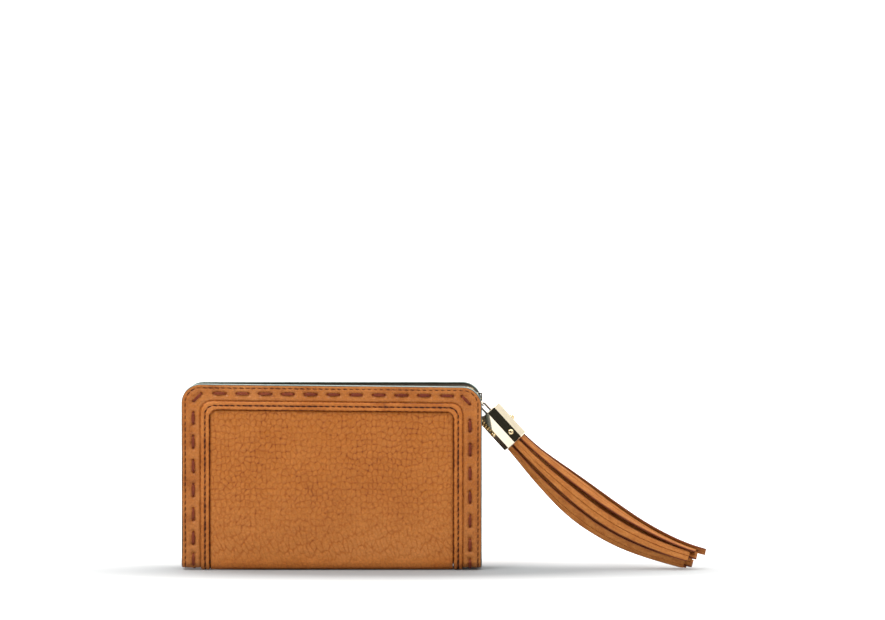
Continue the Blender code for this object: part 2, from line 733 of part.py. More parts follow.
count = 0
for k in range(OUTER_STRANDS):
    count += 1
    ang = 2 * math.pi * (k + 0.25) / OUTER_STRANDS
    strand(f"strand_{count:02d}", ang, (4.65, 8.4, 4.6), (4.65, 6.0, 5.4), (3.5, 4.7, 3.6), 1.0 - 0.02 * ((3 * k) % 4), 0.10)
for k in range(INNER_STRANDS):
    count += 1
    ang = 2 * math.pi * (k + 0.5) / INNER_STRANDS
    strand(f"strand_{count:02d}", ang, (2.55, 3.9, 2.6), (2.55, 2.9, 2.65), (3.3, 3.9, 3.4), 0.97 - 0.015 * ((2 * k) % 3), 0.10)


# ---------------------------------------------------------------- coin pocket divider
add("coin_wall_front", box(-COIN_X, COIN_X, -COIN_OUT, -COIN_IN, DIV_Z + 1.0, COIN_TOP), LINING_BROWN, 0.6, parent=divider)
add("coin_wall_back", box(-COIN_X, COIN_X, COIN_IN, COIN_OUT, DIV_Z + 1.0, COIN_TOP), LINING_BROWN, 0.6, parent=divider)
yb = COIN_IN - GAP
rings = []
for (xo, zo), (xi, zi) in (((-COIN_X, COIN_TOP - 0.5), (-COIN_X + 0.6, COIN_TOP - 0.5)), ((-COIN_X, DIV_Z + 1.0), (-COIN_X + 0.6, DIV_Z + 1.6)),
                           ((COIN_X, DIV_Z + 1.0), (COIN_X - 0.6, DIV_Z + 1.6)), ((COIN_X, COIN_TOP - 0.5), (COIN_X - 0.6, COIN_TOP - 0.5))):
    rings.append([(xo, -yb, zo), (xo, yb, zo), (xi, yb, zi), (xi, -yb, zi)])
add("coin_welt", loft(rings), LINING_BROWN, 0.6, parent=divider)
for side in (1, -1):
    add("coin_tape_" + tag[side], box(-COIN_X, COIN_X, *sorted((side * 1.65, side * 3.0)), COIN_TOP + GAP, COIN_TOP + GAP + 0.5),
        TAPE_DARK, 0.9, parent=divider)
    add("coin_teeth_" + tag[side], box(-COIN_X, COIN_X, *sorted((side * 0.55, side * 1.35)), COIN_TOP - 0.1, COIN_TOP + 1.2),
        BRASS, 0.35, 1.0, parent=divider)

coin_at = (47.0, 0.0, COIN_TOP + 0.55)
along = Matrix(((1, 0, 0), (0, 1, 0), (0, 0, 1)))
coin_frame = pivot("coin_run", coin_at, divider)
slider("coin_slider", along, coin_at, 6.4, 1.9, 0.25, 0.95, 0.95, 0.7, -0.3, 2.1, coin_frame)
coin_axis = (coin_at[0] - 0.6, 0.0, COIN_TOP + 0.55 + 0.95 + 0.7 + 0.75)
coin_turn = pivot("coin_pull_turn", coin_axis, coin_frame)
ring_pull("coin_pull", coin_axis, math.radians(-2.0) + math.pi, 7.0, 1.7, WIRE, coin_turn)
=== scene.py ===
import json
import math

import bmesh
import bpy
import numpy as np
from mathutils import Matrix, Vector

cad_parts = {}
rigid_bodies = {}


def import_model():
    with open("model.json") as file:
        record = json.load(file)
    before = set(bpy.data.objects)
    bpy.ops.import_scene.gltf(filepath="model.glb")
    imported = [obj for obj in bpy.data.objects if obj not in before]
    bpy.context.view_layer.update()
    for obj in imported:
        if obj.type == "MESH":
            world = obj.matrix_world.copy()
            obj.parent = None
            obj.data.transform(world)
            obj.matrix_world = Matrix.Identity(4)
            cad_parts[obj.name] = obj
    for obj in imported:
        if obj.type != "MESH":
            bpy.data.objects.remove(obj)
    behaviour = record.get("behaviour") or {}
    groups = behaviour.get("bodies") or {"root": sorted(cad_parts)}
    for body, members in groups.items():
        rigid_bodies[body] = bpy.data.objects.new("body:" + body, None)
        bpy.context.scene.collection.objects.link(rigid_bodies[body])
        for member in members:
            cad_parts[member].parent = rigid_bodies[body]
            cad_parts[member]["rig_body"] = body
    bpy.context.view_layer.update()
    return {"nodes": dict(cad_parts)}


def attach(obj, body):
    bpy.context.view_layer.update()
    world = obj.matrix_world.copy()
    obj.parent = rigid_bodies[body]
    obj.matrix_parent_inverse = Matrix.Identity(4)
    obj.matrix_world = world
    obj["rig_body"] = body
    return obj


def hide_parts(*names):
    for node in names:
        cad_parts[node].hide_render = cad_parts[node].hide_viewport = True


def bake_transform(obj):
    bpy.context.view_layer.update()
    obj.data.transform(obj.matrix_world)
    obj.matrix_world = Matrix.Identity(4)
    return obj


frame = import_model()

NODES = frame["nodes"]
MM = 0.001

# ------------------------------------------------------------------ sizes, mm (the same frame as the CAD)
HALF_W, HEIGHT, EDGE_R = 70.0, 87.0, 9.0
FACE_Y, SKIN = 12.1, 1.3
FOLD_Y, FOLD_Z = 9.0, 4.2
FOLD_R = FACE_Y - FOLD_Y
SEAM_X, SEAM_Z, SEAM_R = 59.0, 77.0, 2.5
STRIP_OUT = (61.0, 79.05, 5.0)
STRIP_IN = (56.8, 74.9, 3.7)
LACE_X, LACE_Z, LACE_R, LACE_W, STITCH = 64.4, 82.6, 4.5, 1.6, 5.7
LEAN = 0.018
TAPE_X, TAPE_Z, TAPE_R, TAPE_T = 66.2, 84.2, 2.6, 0.5
OPEN_HALF, SHUT_HALF, BEAD_W = 0.8, 0.15, 1.6
BAIL_X, BAIL_Z, RING_L = 68.95, 79.4, 3.8
RING_DIR = math.radians(-63.0)
CAP_DIR = math.radians(-47.5)
CAP_APOTHEM, CAP_LEN, CAP_OFF = 6.5, 19.0, 3.4


# ------------------------------------------------------------------ noise in numpy
def hash2(ix, iy, seed):
    v = np.sin(ix * 127.1 + iy * 311.7 + seed * 74.7) * 43758.5453
    return v - np.floor(v)


def vnoise(x, y, size, seed=0):
    x, y = np.asarray(x) / size, np.asarray(y) / size
    ix, iy = np.floor(x), np.floor(y)
    fx, fy = x - ix, y - iy
    fx, fy = fx * fx * (3 - 2 * fx), fy * fy * (3 - 2 * fy)
    a, b = hash2(ix, iy, seed), hash2(ix + 1, iy, seed)
    c, d = hash2(ix, iy + 1, seed), hash2(ix + 1, iy + 1, seed)
    return (a * (1 - fx) + b * fx) * (1 - fy) + (c * (1 - fx) + d * fx) * fy - 0.5


def cells(x, y, size, seed=0):
    """Nearest and second nearest distances to scattered points: pebbles with creases between."""
    x, y = np.asarray(x) / size, np.asarray(y) / size
    ix, iy = np.floor(x), np.floor(y)
    f1 = np.full(x.shape, 9.0)
    f2 = np.full(x.shape, 9.0)
    for dx in (-1, 0, 1):
        for dy in (-1, 0, 1):
            cx, cy = ix + dx, iy + dy
            px = cx + 0.15 + 0.7 * hash2(cx, cy, seed + 1)
            py = cy + 0.15 + 0.7 * hash2(cx, cy, seed + 2)
            d = np.hypot(px - x, py - y)
            f2 = np.minimum(f2, np.maximum(f1, d))
            f1 = np.minimum(f1, d)
    return f1 * size, f2 * size


def gauss(d, w):
    return np.exp(-(d / w) ** 2)


# ------------------------------------------------------------------ surface mapping
def lean(x, z, side):
    return z * (1.0 - LEAN * (x + HALF_W) / (2 * HALF_W)) if side < 0 else z


def skin(side, x, depth, u):
    """World millimetres of points at a depth below the leather face; u runs down the face, round the fold, under the spine."""
    x, depth, u = np.broadcast_arrays(np.asarray(x, float), np.asarray(depth, float), np.asarray(u, float))
    arc = 0.5 * math.pi * FOLD_R
    run = np.clip(FOLD_Z - u, 0, None)
    a = np.minimum(run, arc) / FOLD_R
    rr = np.maximum(FOLD_R - depth, 0.15)
    y = np.where(u >= FOLD_Z, FACE_Y - depth, FOLD_Y + rr * np.cos(a) - np.clip(run - arc, 0, None))
    z = np.where(u >= FOLD_Z, u, FOLD_Z - rr * np.sin(a))
    zl = z * (1.0 - LEAN * (x + HALF_W) / (2 * HALF_W))
    k = np.clip((u - FOLD_Z) / 4.0, 0, 1)
    if side < 0:
        z = z * (1 - k) + zl * k
    return np.stack([x, side * y, z], -1)


def arch(half, top, r, low, n_leg=60, n_arc=22, n_top=110):
    """Dense arch outline as arrays x, u, evenly spread on each stretch."""
    xs, us = [], []
    up = top - r
    for t in np.linspace(0, 1, n_leg, endpoint=False):
        xs.append(-half); us.append(low + (up - low) * t)
    for t in np.linspace(0, 1, n_arc, endpoint=False):
        a = math.pi - 0.5 * math.pi * t
        xs.append(-half + r + r * math.cos(a)); us.append(up + r * math.sin(a))
    for t in np.linspace(0, 1, n_top, endpoint=False):
        xs.append(-half + r + 2 * (half - r) * t); us.append(top)
    for t in np.linspace(0, 1, n_arc, endpoint=False):
        a = 0.5 * math.pi - 0.5 * math.pi * t
        xs.append(half - r + r * math.cos(a)); us.append(up + r * math.sin(a))
    for t in np.linspace(0, 1, n_leg + 1):
        xs.append(half); us.append(up + (low - up) * t)
    return np.array(xs), np.array(us)


def arch_coords(x, u, half, top, r):
    """Distance along an arch line from its left foot, and offset from it (outward positive)."""
    up, arc, across = top - r, 0.5 * math.pi * r, 2 * (half - r)
    cx, ax = half - r, np.abs(x)
    ang = np.arctan2(u - up, np.maximum(ax - cx, 1e-9))
    in_corner = (ax > cx) & (u > up)
    on_top = (ax <= cx) & ((u - up) > (ax - cx)) & (u > up - (cx - ax))
    n = np.where(in_corner, np.hypot(ax - cx, u - up) - r, np.where(on_top, u - top, ax - half))
    left = x < 0
    s_side = np.where(left, u, 2 * up + 2 * arc + across - u)
    s_top = up + arc + (x + cx)
    s_corner = np.where(left, up + r * ang, up + arc + across + arc - r * ang)
    s = np.where(in_corner, s_corner, np.where(on_top, s_top, s_side))
    return s, n


def arch_point(s, half, top, r):
    up, arc, across = top - r, 0.5 * math.pi * r, 2 * (half - r)
    if s < up:
        return (-half, s), (-1.0, 0.0)
    s -= up
    if s < arc:
        a = math.pi - s / r
        return (-half + r + r * math.cos(a), up + r * math.sin(a)), (math.cos(a), math.sin(a))
    s -= arc
    if s < across:
        return (-half + r + s, top), (0.0, 1.0)
    s -= across
    if s < arc:
        a = 0.5 * math.pi - s / r
        return (half - r + r * math.cos(a), up + r * math.sin(a)), (math.cos(a), math.sin(a))
    s -= arc
    return (half, up - s), (1.0, 0.0)


UP = LACE_Z - LACE_R
ARC = 0.5 * math.pi * LACE_R
ACROSS = 2 * (LACE_X - LACE_R)
LACE_END = 2 * UP + 2 * ARC + ACROSS


def stitch_centres():
    left = [4.9, 15.0, 26.2, 37.4, 48.6, 59.8, 71.0]
    top0 = UP + ARC + (LACE_X - LACE_R) + 0.8
    top = [top0 + 10.58 * (k - 5) for k in range(11)]
    right = [LACE_END - z for z in (68.5, 57.2, 45.9, 34.6, 23.3, 12.0, 2.2)]
    return left + [UP + 0.5 * ARC] + top + [LACE_END - UP - 0.5 * ARC] + right


CENTRES = stitch_centres()


# ------------------------------------------------------------------ mesh helpers
def link(name, verts, faces, smooth=True, uv=None):
    mesh = bpy.data.meshes.new(name)
    mesh.from_pydata((np.asarray(verts, float) * MM).tolist(), [], faces)
    mesh.validate(clean_customdata=False)
    mesh.update()
    if smooth:
        mesh.shade_smooth()
    o = bpy.data.objects.new(name, mesh)
    bpy.context.scene.collection.objects.link(o)
    if uv is not None:
        layer = mesh.uv_layers.new(name="UVMap")
        idx = np.zeros(len(mesh.loops), int)
        mesh.loops.foreach_get("vertex_index", idx)
        layer.data.foreach_set("uv", np.asarray(uv, float)[idx].astype(np.float32).ravel())
    return o


def fix_normals(o):
    bm = bmesh.new()
    bm.from_mesh(o.data)
    bmesh.ops.recalc_face_normals(bm, faces=bm.faces)
    bm.to_mesh(o.data)
    bm.free()
    return o


def sheet(name, outer, inner, uv=None, wrap=False):
    """Closed slab between two point grids of the same shape."""
    nu, nv = outer.shape[:2]
    v = np.concatenate([outer.reshape(-1, 3), inner.reshape(-1, 3)])
    k = nu * nv
    f = []
    for i in range(nu - 1):
        for j in range(nv - 1):
            a = i * nv + j
            f.append((a, a + 1, a + nv + 1, a + nv))
            f.append((k + a, k + a + nv, k + a + nv + 1, k + a + 1))
    for i in range(nu - 1):
        for j in (0, nv - 1):
            a = i * nv + j
            q = (a, a + nv, k + a + nv, k + a)
            f.append(q if j == 0 else q[::-1])
    for j in range(nv - 1):
        for i in (0, nu - 1):
            a = i * nv + j
            q = (a, k + a, k + a + 1, a + 1)
            f.append(q if i == 0 else q[::-1])
    uvs = None if uv is None else np.concatenate([uv.reshape(-1, 2)] * 2)
    return fix_normals(link(name, v, f, uv=uvs))


def skirted(name, outer, drop):
    """Dense face with a skirt that runs in and down round its rim; drop is the same grid, lower."""
    nu, nv = outer.shape[:2]
    rim = [(0, j) for j in range(nv)] + [(i, nv - 1) for i in range(1, nu)] + \
          [(nu - 1, j) for j in range(nv - 2, -1, -1)] + [(i, 0) for i in range(nu - 2, 0, -1)]
    v = list(outer.reshape(-1, 3)) + [drop[i, j] for i, j in rim]
    f = [(i * nv + j, i * nv + j + 1, (i + 1) * nv + j + 1, (i + 1) * nv + j) for i in range(nu - 1) for j in range(nv - 1)]
    k, m = nu * nv, len(rim)
    for a in range(m):
        b = (a + 1) % m
        ia, ib = rim[a][0] * nv + rim[a][1], rim[b][0] * nv + rim[b][1]
        f.append((ib, ia, k + a, k + b))
    o = fix_normals(link(name, v, f))
    return o


def shade(o, values):
    """Stores a colour factor for each point of a face: painted shade in creases, holes, edge valleys and skirts near 0,
    grain tone between, painted highlight on the tops at 1.
    """
    layer = o.data.attributes.new("painted_shade_and_grain", "FLOAT", "POINT")
    vals = np.full(len(o.data.vertices), 0.3, np.float32)
    vals[:values.size] = values.ravel()
    layer.data.foreach_set("value", vals)
    return o


def face_out(o, side):
    """Turn an open skin so that most of it faces away from the middle plane."""
    n = np.array([(p.normal.y * p.area) for p in o.data.polygons]).sum()
    if n * side < 0:
        o.data.flip_normals()
    return o


def tube_rings(rings, closed=False, cap=True):
    n = len(rings[0])
    v = [p for r in rings for p in r]
    f = []
    m = len(rings)
    for k in range(m if closed else m - 1):
        l = (k + 1) % m
        for i in range(n):
            j = (i + 1) % n
            f.append((k * n + i, k * n + j, l * n + j, l * n + i))
    if not closed and cap:
        f.append(tuple(range(n))[::-1])
        f.append(tuple((m - 1) * n + i for i in range(n)))
    return v, f


class Heap:
    """Gathers many small solids into one mesh."""

    def __init__(self):
        self.v, self.f = [], []

    def put(self, v, f):
        k = len(self.v)
        self.v += [tuple(p) for p in v]
        self.f += [tuple(i + k for i in q) for q in f]

    def build(self, name, smooth=True):
        return fix_normals(link(name, self.v, self.f, smooth=smooth))


def unit(v):
    return v / max(np.linalg.norm(v), 1e-9)


# ------------------------------------------------------------------ materials
def new_material(name):
    m = bpy.data.materials.new(name)
    m.use_nodes = True
    nt = m.node_tree
    return m, nt, nt.nodes["Principled BSDF"]


def node(nt, kind, **kw):
    n = nt.nodes.new(kind)
    for k, v in kw.items():
        setattr(n, k, v)
    return n


def ramp(nt, src, stops):
    r = node(nt, "ShaderNodeValToRGB")
    while len(r.color_ramp.elements) < len(stops):
        r.color_ramp.elements.new(0.5)
    for e, (p, c) in zip(r.color_ramp.elements, stops):
        e.position = p
        e.color = (*c, 1.0) if len(c) == 3 else (c[0], c[0], c[0], 1.0)
    nt.links.new(src, r.inputs[0])
    return r.outputs[0]


def mixc(nt, fac, a, b, blend="MIX"):
    m = node(nt, "ShaderNodeMix", data_type="RGBA", blend_type=blend)
    for sock, val in ((m.inputs[0], fac), (m.inputs[6], a), (m.inputs[7], b)):
        if hasattr(val, "is_linked") or hasattr(val, "links"):
            nt.links.new(val, sock)
        else:
            sock.default_value = val if isinstance(val, float) else (*val, 1.0)
    return m.outputs[2]


def math_node(nt, op, a, b=0.0):
    m = node(nt, "ShaderNodeMath", operation=op)
    for sock, val in zip(m.inputs, (a, b)):
        if hasattr(val, "links"):
            nt.links.new(val, sock)
        else:
            sock.default_value = val
    return m.outputs[0]


def noise_tex(nt, vec, scale, detail=4.0, rough=0.55, dist=0.0):
    n = node(nt, "ShaderNodeTexNoise")
    n.inputs["Scale"].default_value = scale
    n.inputs["Detail"].default_value = detail
    n.inputs["Roughness"].default_value = rough
    n.inputs["Distortion"].default_value = dist
    nt.links.new(vec, n.inputs["Vector"])
    return n.outputs["Fac"]


def coords(nt, stretch=(1, 1, 1), turn=(0, 0, 0), kind="Object"):
    c = node(nt, "ShaderNodeTexCoord")
    m = node(nt, "ShaderNodeMapping")
    m.inputs["Scale"].default_value = stretch
    m.inputs["Rotation"].default_value = turn
    nt.links.new(c.outputs[kind], m.inputs["Vector"])
    return m.outputs["Vector"]


def bump(nt, height, strength, distance, b, prev=None):
    n = node(nt, "ShaderNodeBump")
    n.inputs["Strength"].default_value = strength
    n.inputs["Distance"].default_value = distance
    nt.links.new(height, n.inputs["Height"])
    if prev is not None:
        nt.links.new(prev, n.inputs["Normal"])
    nt.links.new(n.outputs["Normal"], b.inputs["Normal"])
    return n.outputs["Normal"]


def leather(name, dark, mid, light, pebble=1.7, grain=0.6, rough=0.5, crease=0.35, painted_shade_and_grain=None, painted_floor_reflection=None):
    m, nt, b = new_material(name)
    v = coords(nt)
    warp = noise_tex(nt, v, 260.0, 2.0)
    vo = node(nt, "ShaderNodeTexVoronoi", feature="DISTANCE_TO_EDGE")
    vo.inputs["Scale"].default_value = 1000.0 / pebble
    shift = node(nt, "ShaderNodeVectorMath", operation="ADD")
    warp_c = node(nt, "ShaderNodeTexNoise")
    warp_c.inputs["Scale"].default_value = 420.0
    nt.links.new(v, warp_c.inputs["Vector"])
    sc = node(nt, "ShaderNodeVectorMath", operation="SCALE")
    sc.inputs["Scale"].default_value = 0.0011
    nt.links.new(warp_c.outputs["Color"], sc.inputs[0])
    nt.links.new(v, shift.inputs[0])
    nt.links.new(sc.outputs[0], shift.inputs[1])
    nt.links.new(shift.outputs[0], vo.inputs["Vector"])
    creases = ramp(nt, vo.outputs["Distance"], [(0.0, (0.0,)), (0.16, (0.75,)), (0.45, (1.0,))])
    broad = noise_tex(nt, v, 38.0, 5.0, 0.6)
    fine = noise_tex(nt, v, 900.0, 4.0, 0.6)
    mottled = noise_tex(nt, v, 150.0, 4.0, 0.6)
    tone = ramp(nt, broad, [(0.3, dark), (0.5, mid), (0.72, light)])
    tone = mixc(nt, math_node(nt, "MULTIPLY", mottled, 0.45), tone, mid)
    # Painted shade along the crease lines, with a slight painted highlight on the pebble tops between them.
    shade = ramp(nt, math_node(nt, "MULTIPLY", creases, 1.0), [(0.0, (1.0 - crease,) * 3), (0.6, (1.0, 1.0, 1.0)), (1.0, (1.06, 1.05, 1.04))])
    colour = mixc(nt, 1.0, tone, shade, "MULTIPLY")
    speck = ramp(nt, fine, [(0.3, (0.80, 0.78, 0.76)), (0.55, (1.0, 1.0, 1.0)), (0.8, (1.12, 1.12, 1.12))])
    colour = mixc(nt, 0.8, colour, speck, "MULTIPLY")
    if painted_shade_and_grain is not None:
        # Multiplies the colour by the stored factor: painted shade in creases and holes, painted highlight on the tops.
        at = node(nt, "ShaderNodeAttribute", attribute_name="painted_shade_and_grain")
        colour = mixc(nt, 1.0, colour, ramp(nt, at.outputs["Fac"], painted_shade_and_grain), "MULTIPLY")
    # Paler and bluer towards the bottom, ramped by height: a painted reflection of the white floor.
    if painted_floor_reflection is not None:
        up = node(nt, "ShaderNodeSeparateXYZ")
        nt.links.new(v, up.inputs[0])
        colour = mixc(nt, 1.0, colour, ramp(nt, math_node(nt, "MULTIPLY", up.outputs[2], 10.0), painted_floor_reflection), "MULTIPLY")
    nt.links.new(colour, b.inputs["Base Color"])
    r = ramp(nt, mottled, [(0.3, (rough - 0.08,)), (0.7, (rough + 0.12,))])
    nt.links.new(r, b.inputs["Roughness"])
    b.inputs["Specular IOR Level"].default_value = 0.26
    n1 = bump(nt, creases, 0.55 * grain, 0.00035, b)
    bump(nt, fine, 0.45 * grain, 0.00012, b, n1)
    return m


def strip_leather(name, dark, mid, light, rough=0.6, edge=(0.16, 0.035, 0.012)):
    """Fringe leather: streaks along the strip from the UV map, raw reddish edges."""
    m, nt, b = new_material(name)
    v = coords(nt, (1.0, 0.12, 1.0), kind="UV")
    streak = noise_tex(nt, v, 1.4, 5.0, 0.6, 0.4)
    vo = coords(nt)
    fine = noise_tex(nt, vo, 1100.0, 3.0, 0.6)
    broad = noise_tex(nt, vo, 60.0, 4.0, 0.6)
    tone = ramp(nt, streak, [(0.28, dark), (0.5, mid), (0.74, light)])
    tone = mixc(nt, math_node(nt, "MULTIPLY", broad, 0.5), tone, mid)
    speck = ramp(nt, fine, [(0.3, (0.78, 0.75, 0.72)), (0.55, (1.0, 1.0, 1.0)), (0.8, (1.2, 1.2, 1.2))])
    tone = mixc(nt, 0.8, tone, speck, "MULTIPLY")
    sep = node(nt, "ShaderNodeSeparateXYZ")
    nt.links.new(node_uv(nt), sep.inputs[0])
    off = math_node(nt, "ABSOLUTE", sep.outputs[0])
    near = ramp(nt, off, [(0.80, (0.0,)), (0.97, (1.0,))])
    tone = mixc(nt, near, tone, edge)
    nt.links.new(tone, b.inputs["Base Color"])
    b.inputs["Roughness"].default_value = rough
    b.inputs["Specular IOR Level"].default_value = 0.25
    n1 = bump(nt, streak, 0.35, 0.0003, b)
    bump(nt, fine, 0.5, 0.00012, b, n1)
    return m


def node_uv(nt):
    return node(nt, "ShaderNodeTexCoord").outputs["UV"]


def metal(name, colour, rough, bump_scale=0.0, patina=0.0):
    m, nt, b = new_material(name)
    b.inputs["Metallic"].default_value = 1.0
    v = coords(nt)
    n = noise_tex(nt, v, 220.0, 3.0)
    c = ramp(nt, n, [(0.35, tuple(x * (1 - 0.10 - patina) for x in colour)), (0.65, colour)])
    nt.links.new(c, b.inputs["Base Color"])
    fine = noise_tex(nt, v, 2600.0, 2.0)
    nt.links.new(ramp(nt, fine, [(0.3, (rough * 0.8,)), (0.7, (rough * 1.4,))]), b.inputs["Roughness"])
    if bump_scale:
        bump(nt, n, bump_scale, 0.0001, b)
    return m


def woven(name, a, c, pitch=0.5, rough=0.85):
    m, nt, b = new_material(name)
    v = coords(nt)
    w = node(nt, "ShaderNodeTexWave", wave_type="BANDS", bands_direction="DIAGONAL")
    w.inputs["Scale"].default_value = 1000.0 / pitch / 6.283
    w.inputs["Distortion"].default_value = 0.6
    nt.links.new(v, w.inputs["Vector"])
    n = noise_tex(nt, v, 300.0, 4.0)
    nt.links.new(mixc(nt, w.outputs["Fac"], a, c), b.inputs["Base Color"])
    b.inputs["Roughness"].default_value = rough
    b.inputs["Sheen Weight"].default_value = 0.25
    n1 = bump(nt, w.outputs["Fac"], 0.5, 0.00015, b)
    bump(nt, n, 0.2, 0.0002, b, n1)
    return m


def thread(name, a, c):
    m, nt, b = new_material(name)
    v = coords(nt)
    n = noise_tex(nt, v, 2400.0, 3.0)
    nt.links.new(ramp(nt, n, [(0.35, a), (0.65, c)]), b.inputs["Base Color"])
    b.inputs["Roughness"].default_value = 0.75
    b.inputs["Specular IOR Level"].default_value = 0.12
    bump(nt, n, 0.5, 0.0001, b)
    return m


def paint(name, a, c, top=None):
    """Edge paint: satin, a little uneven, worn lighter here and there; with top given, faces that point up take a
    lighter colour as a painted highlight.
    """
    m, nt, b = new_material(name)
    v = coords(nt)
    n = noise_tex(nt, v, 90.0, 5.0, 0.65)
    f = noise_tex(nt, v, 1300.0, 3.0)
    tone = ramp(nt, n, [(0.35, a), (0.58, a), (0.80, c)])
    # Painted highlight: faces that point up blend to the top colour.
    if top is not None:
        g = node(nt, "ShaderNodeNewGeometry")
        sp = node(nt, "ShaderNodeSeparateXYZ")
        nt.links.new(g.outputs["Normal"], sp.inputs[0])
        tone = mixc(nt, ramp(nt, sp.outputs[2], [(0.25, (0.0,)), (0.75, (1.0,))]), tone, top)
    nt.links.new(tone, b.inputs["Base Color"])
    b.inputs["Roughness"].default_value = 0.38
    n1 = bump(nt, n, 0.3, 0.0003, b)
    bump(nt, f, 0.25, 0.0001, b, n1)
    return m


# The stop lists passed to leather below map the stored factor to a colour multiplier: dark stops are painted shade in
# creases, holes and edge valleys, the bright bluish stops painted highlight on the tops. The panel's second list is a
# painted floor reflection, paler towards the bottom.
M_PANEL = leather("grained_tan", (0.375, 0.112, 0.015), (0.405, 0.126, 0.019), (0.44, 0.145, 0.026), 1.75, 0.45, 0.40, 0.06,
                  [(0.0, (0.10, 0.05, 0.04)), (0.18, (0.45, 0.34, 0.25)), (0.36, (0.82, 0.70, 0.52)), (0.6, (1.0, 1.0, 1.0)), (1.0, (1.14, 1.24, 1.50))], painted_floor_reflection=[(0.0, (1.32, 1.26, 1.20)), (0.07, (1.29, 1.40, 1.86)), (0.22, (1.18, 1.26, 1.50)), (0.42, (1.07, 1.08, 1.04)), (0.78, (1.03, 1.04, 1.06))])
M_BAND = leather("smooth_tan", (0.37, 0.112, 0.017), (0.425, 0.138, 0.026), (0.49, 0.18, 0.046), 1.1, 0.3, 0.40, 0.06,
                 [(0.0, (0.10, 0.05, 0.04)), (0.2, (0.42, 0.30, 0.22)), (0.42, (0.88, 0.80, 0.66)), (0.6, (1.0, 1.0, 1.0)), (1.0, (1.16, 1.28, 1.5))])
M_STRIP = leather("strip_tan", (0.405, 0.119, 0.017), (0.46, 0.144, 0.024), (0.525, 0.185, 0.042), 1.2, 0.3, 0.40, 0.06,
                  [(0.0, (0.07, 0.04, 0.035)), (0.25, (0.42, 0.30, 0.22)), (0.45, (0.90, 0.82, 0.68)), (0.6, (1.0, 1.0, 1.0)), (1.0, (1.16, 1.25, 1.4))])
M_LACE = leather("lace_brown", (0.12, 0.016, 0.004), (0.18, 0.028, 0.007), (0.26, 0.055, 0.016), 0.7, 0.4, 0.42, 0.2)
M_FRINGE = strip_leather("fringe_tan", (0.33, 0.095, 0.014), (0.44, 0.150, 0.028), (0.56, 0.235, 0.062))
M_LOOP = leather("loop_tan", (0.36, 0.11, 0.02), (0.47, 0.16, 0.035), (0.55, 0.2, 0.05), 1.0, 0.3, 0.45, 0.15)
# The third colour is the painted highlight on upward-facing edges.
M_EDGE = paint("edge_paint", (0.055, 0.075, 0.069), (0.20, 0.27, 0.25), (0.33, 0.42, 0.39))
M_THREAD = thread("topstitch_thread", (0.022, 0.007, 0.003), (0.055, 0.018, 0.007))
M_THREAD_RIM = thread("rim_thread", (0.06, 0.019, 0.007), (0.15, 0.048, 0.016))
M_THREAD_IN = thread("inner_thread", (0.30, 0.13, 0.05), (0.42, 0.20, 0.08))
M_INNER = leather("inner_leather", (0.26, 0.085, 0.02), (0.34, 0.12, 0.03), (0.40, 0.15, 0.045), 0.9, 0.35, 0.5, 0.15)
M_LINING = woven("lining_twill", (0.12, 0.055, 0.025), (0.19, 0.095, 0.045), 0.45)
M_TAPE = woven("zip_tape_weave", (0.030, 0.018, 0.012), (0.07, 0.042, 0.028), 0.6)
M_TEETH = metal("teeth_brass", (0.62, 0.46, 0.24), 0.28, 0.2, 0.1)
M_GOLD = metal("pale_gold", (0.93, 0.84, 0.66), 0.07)
M_SCREW = metal("screw_gold", (0.90, 0.72, 0.42), 0.16)
M_BOARD = paint("board_grey", (0.20, 0.18, 0.15), (0.28, 0.25, 0.2))
M_DARK = paint("screw_slot", (0.01, 0.008, 0.006), (0.03, 0.02, 0.015))


def give(o, *mats):
    o.data.materials.clear()
    for m in mats:
        o.data.materials.append(m)
    return o


BODY = {1: "case", -1: "front_cover"}
TAG = {1: "back", -1: "front"}


def settle(o, side):
    """Back pieces ride on the case; front pieces, shaped round the fold, stay unattached with their transforms baked.
    """
    if side > 0:
        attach(o, "case")
    else:
        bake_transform(o)
    return o


# ------------------------------------------------------------------ border band
LOW_U = FOLD_Z - 0.5 * math.pi * FOLD_R - FOLD_Y      # middle of the spine


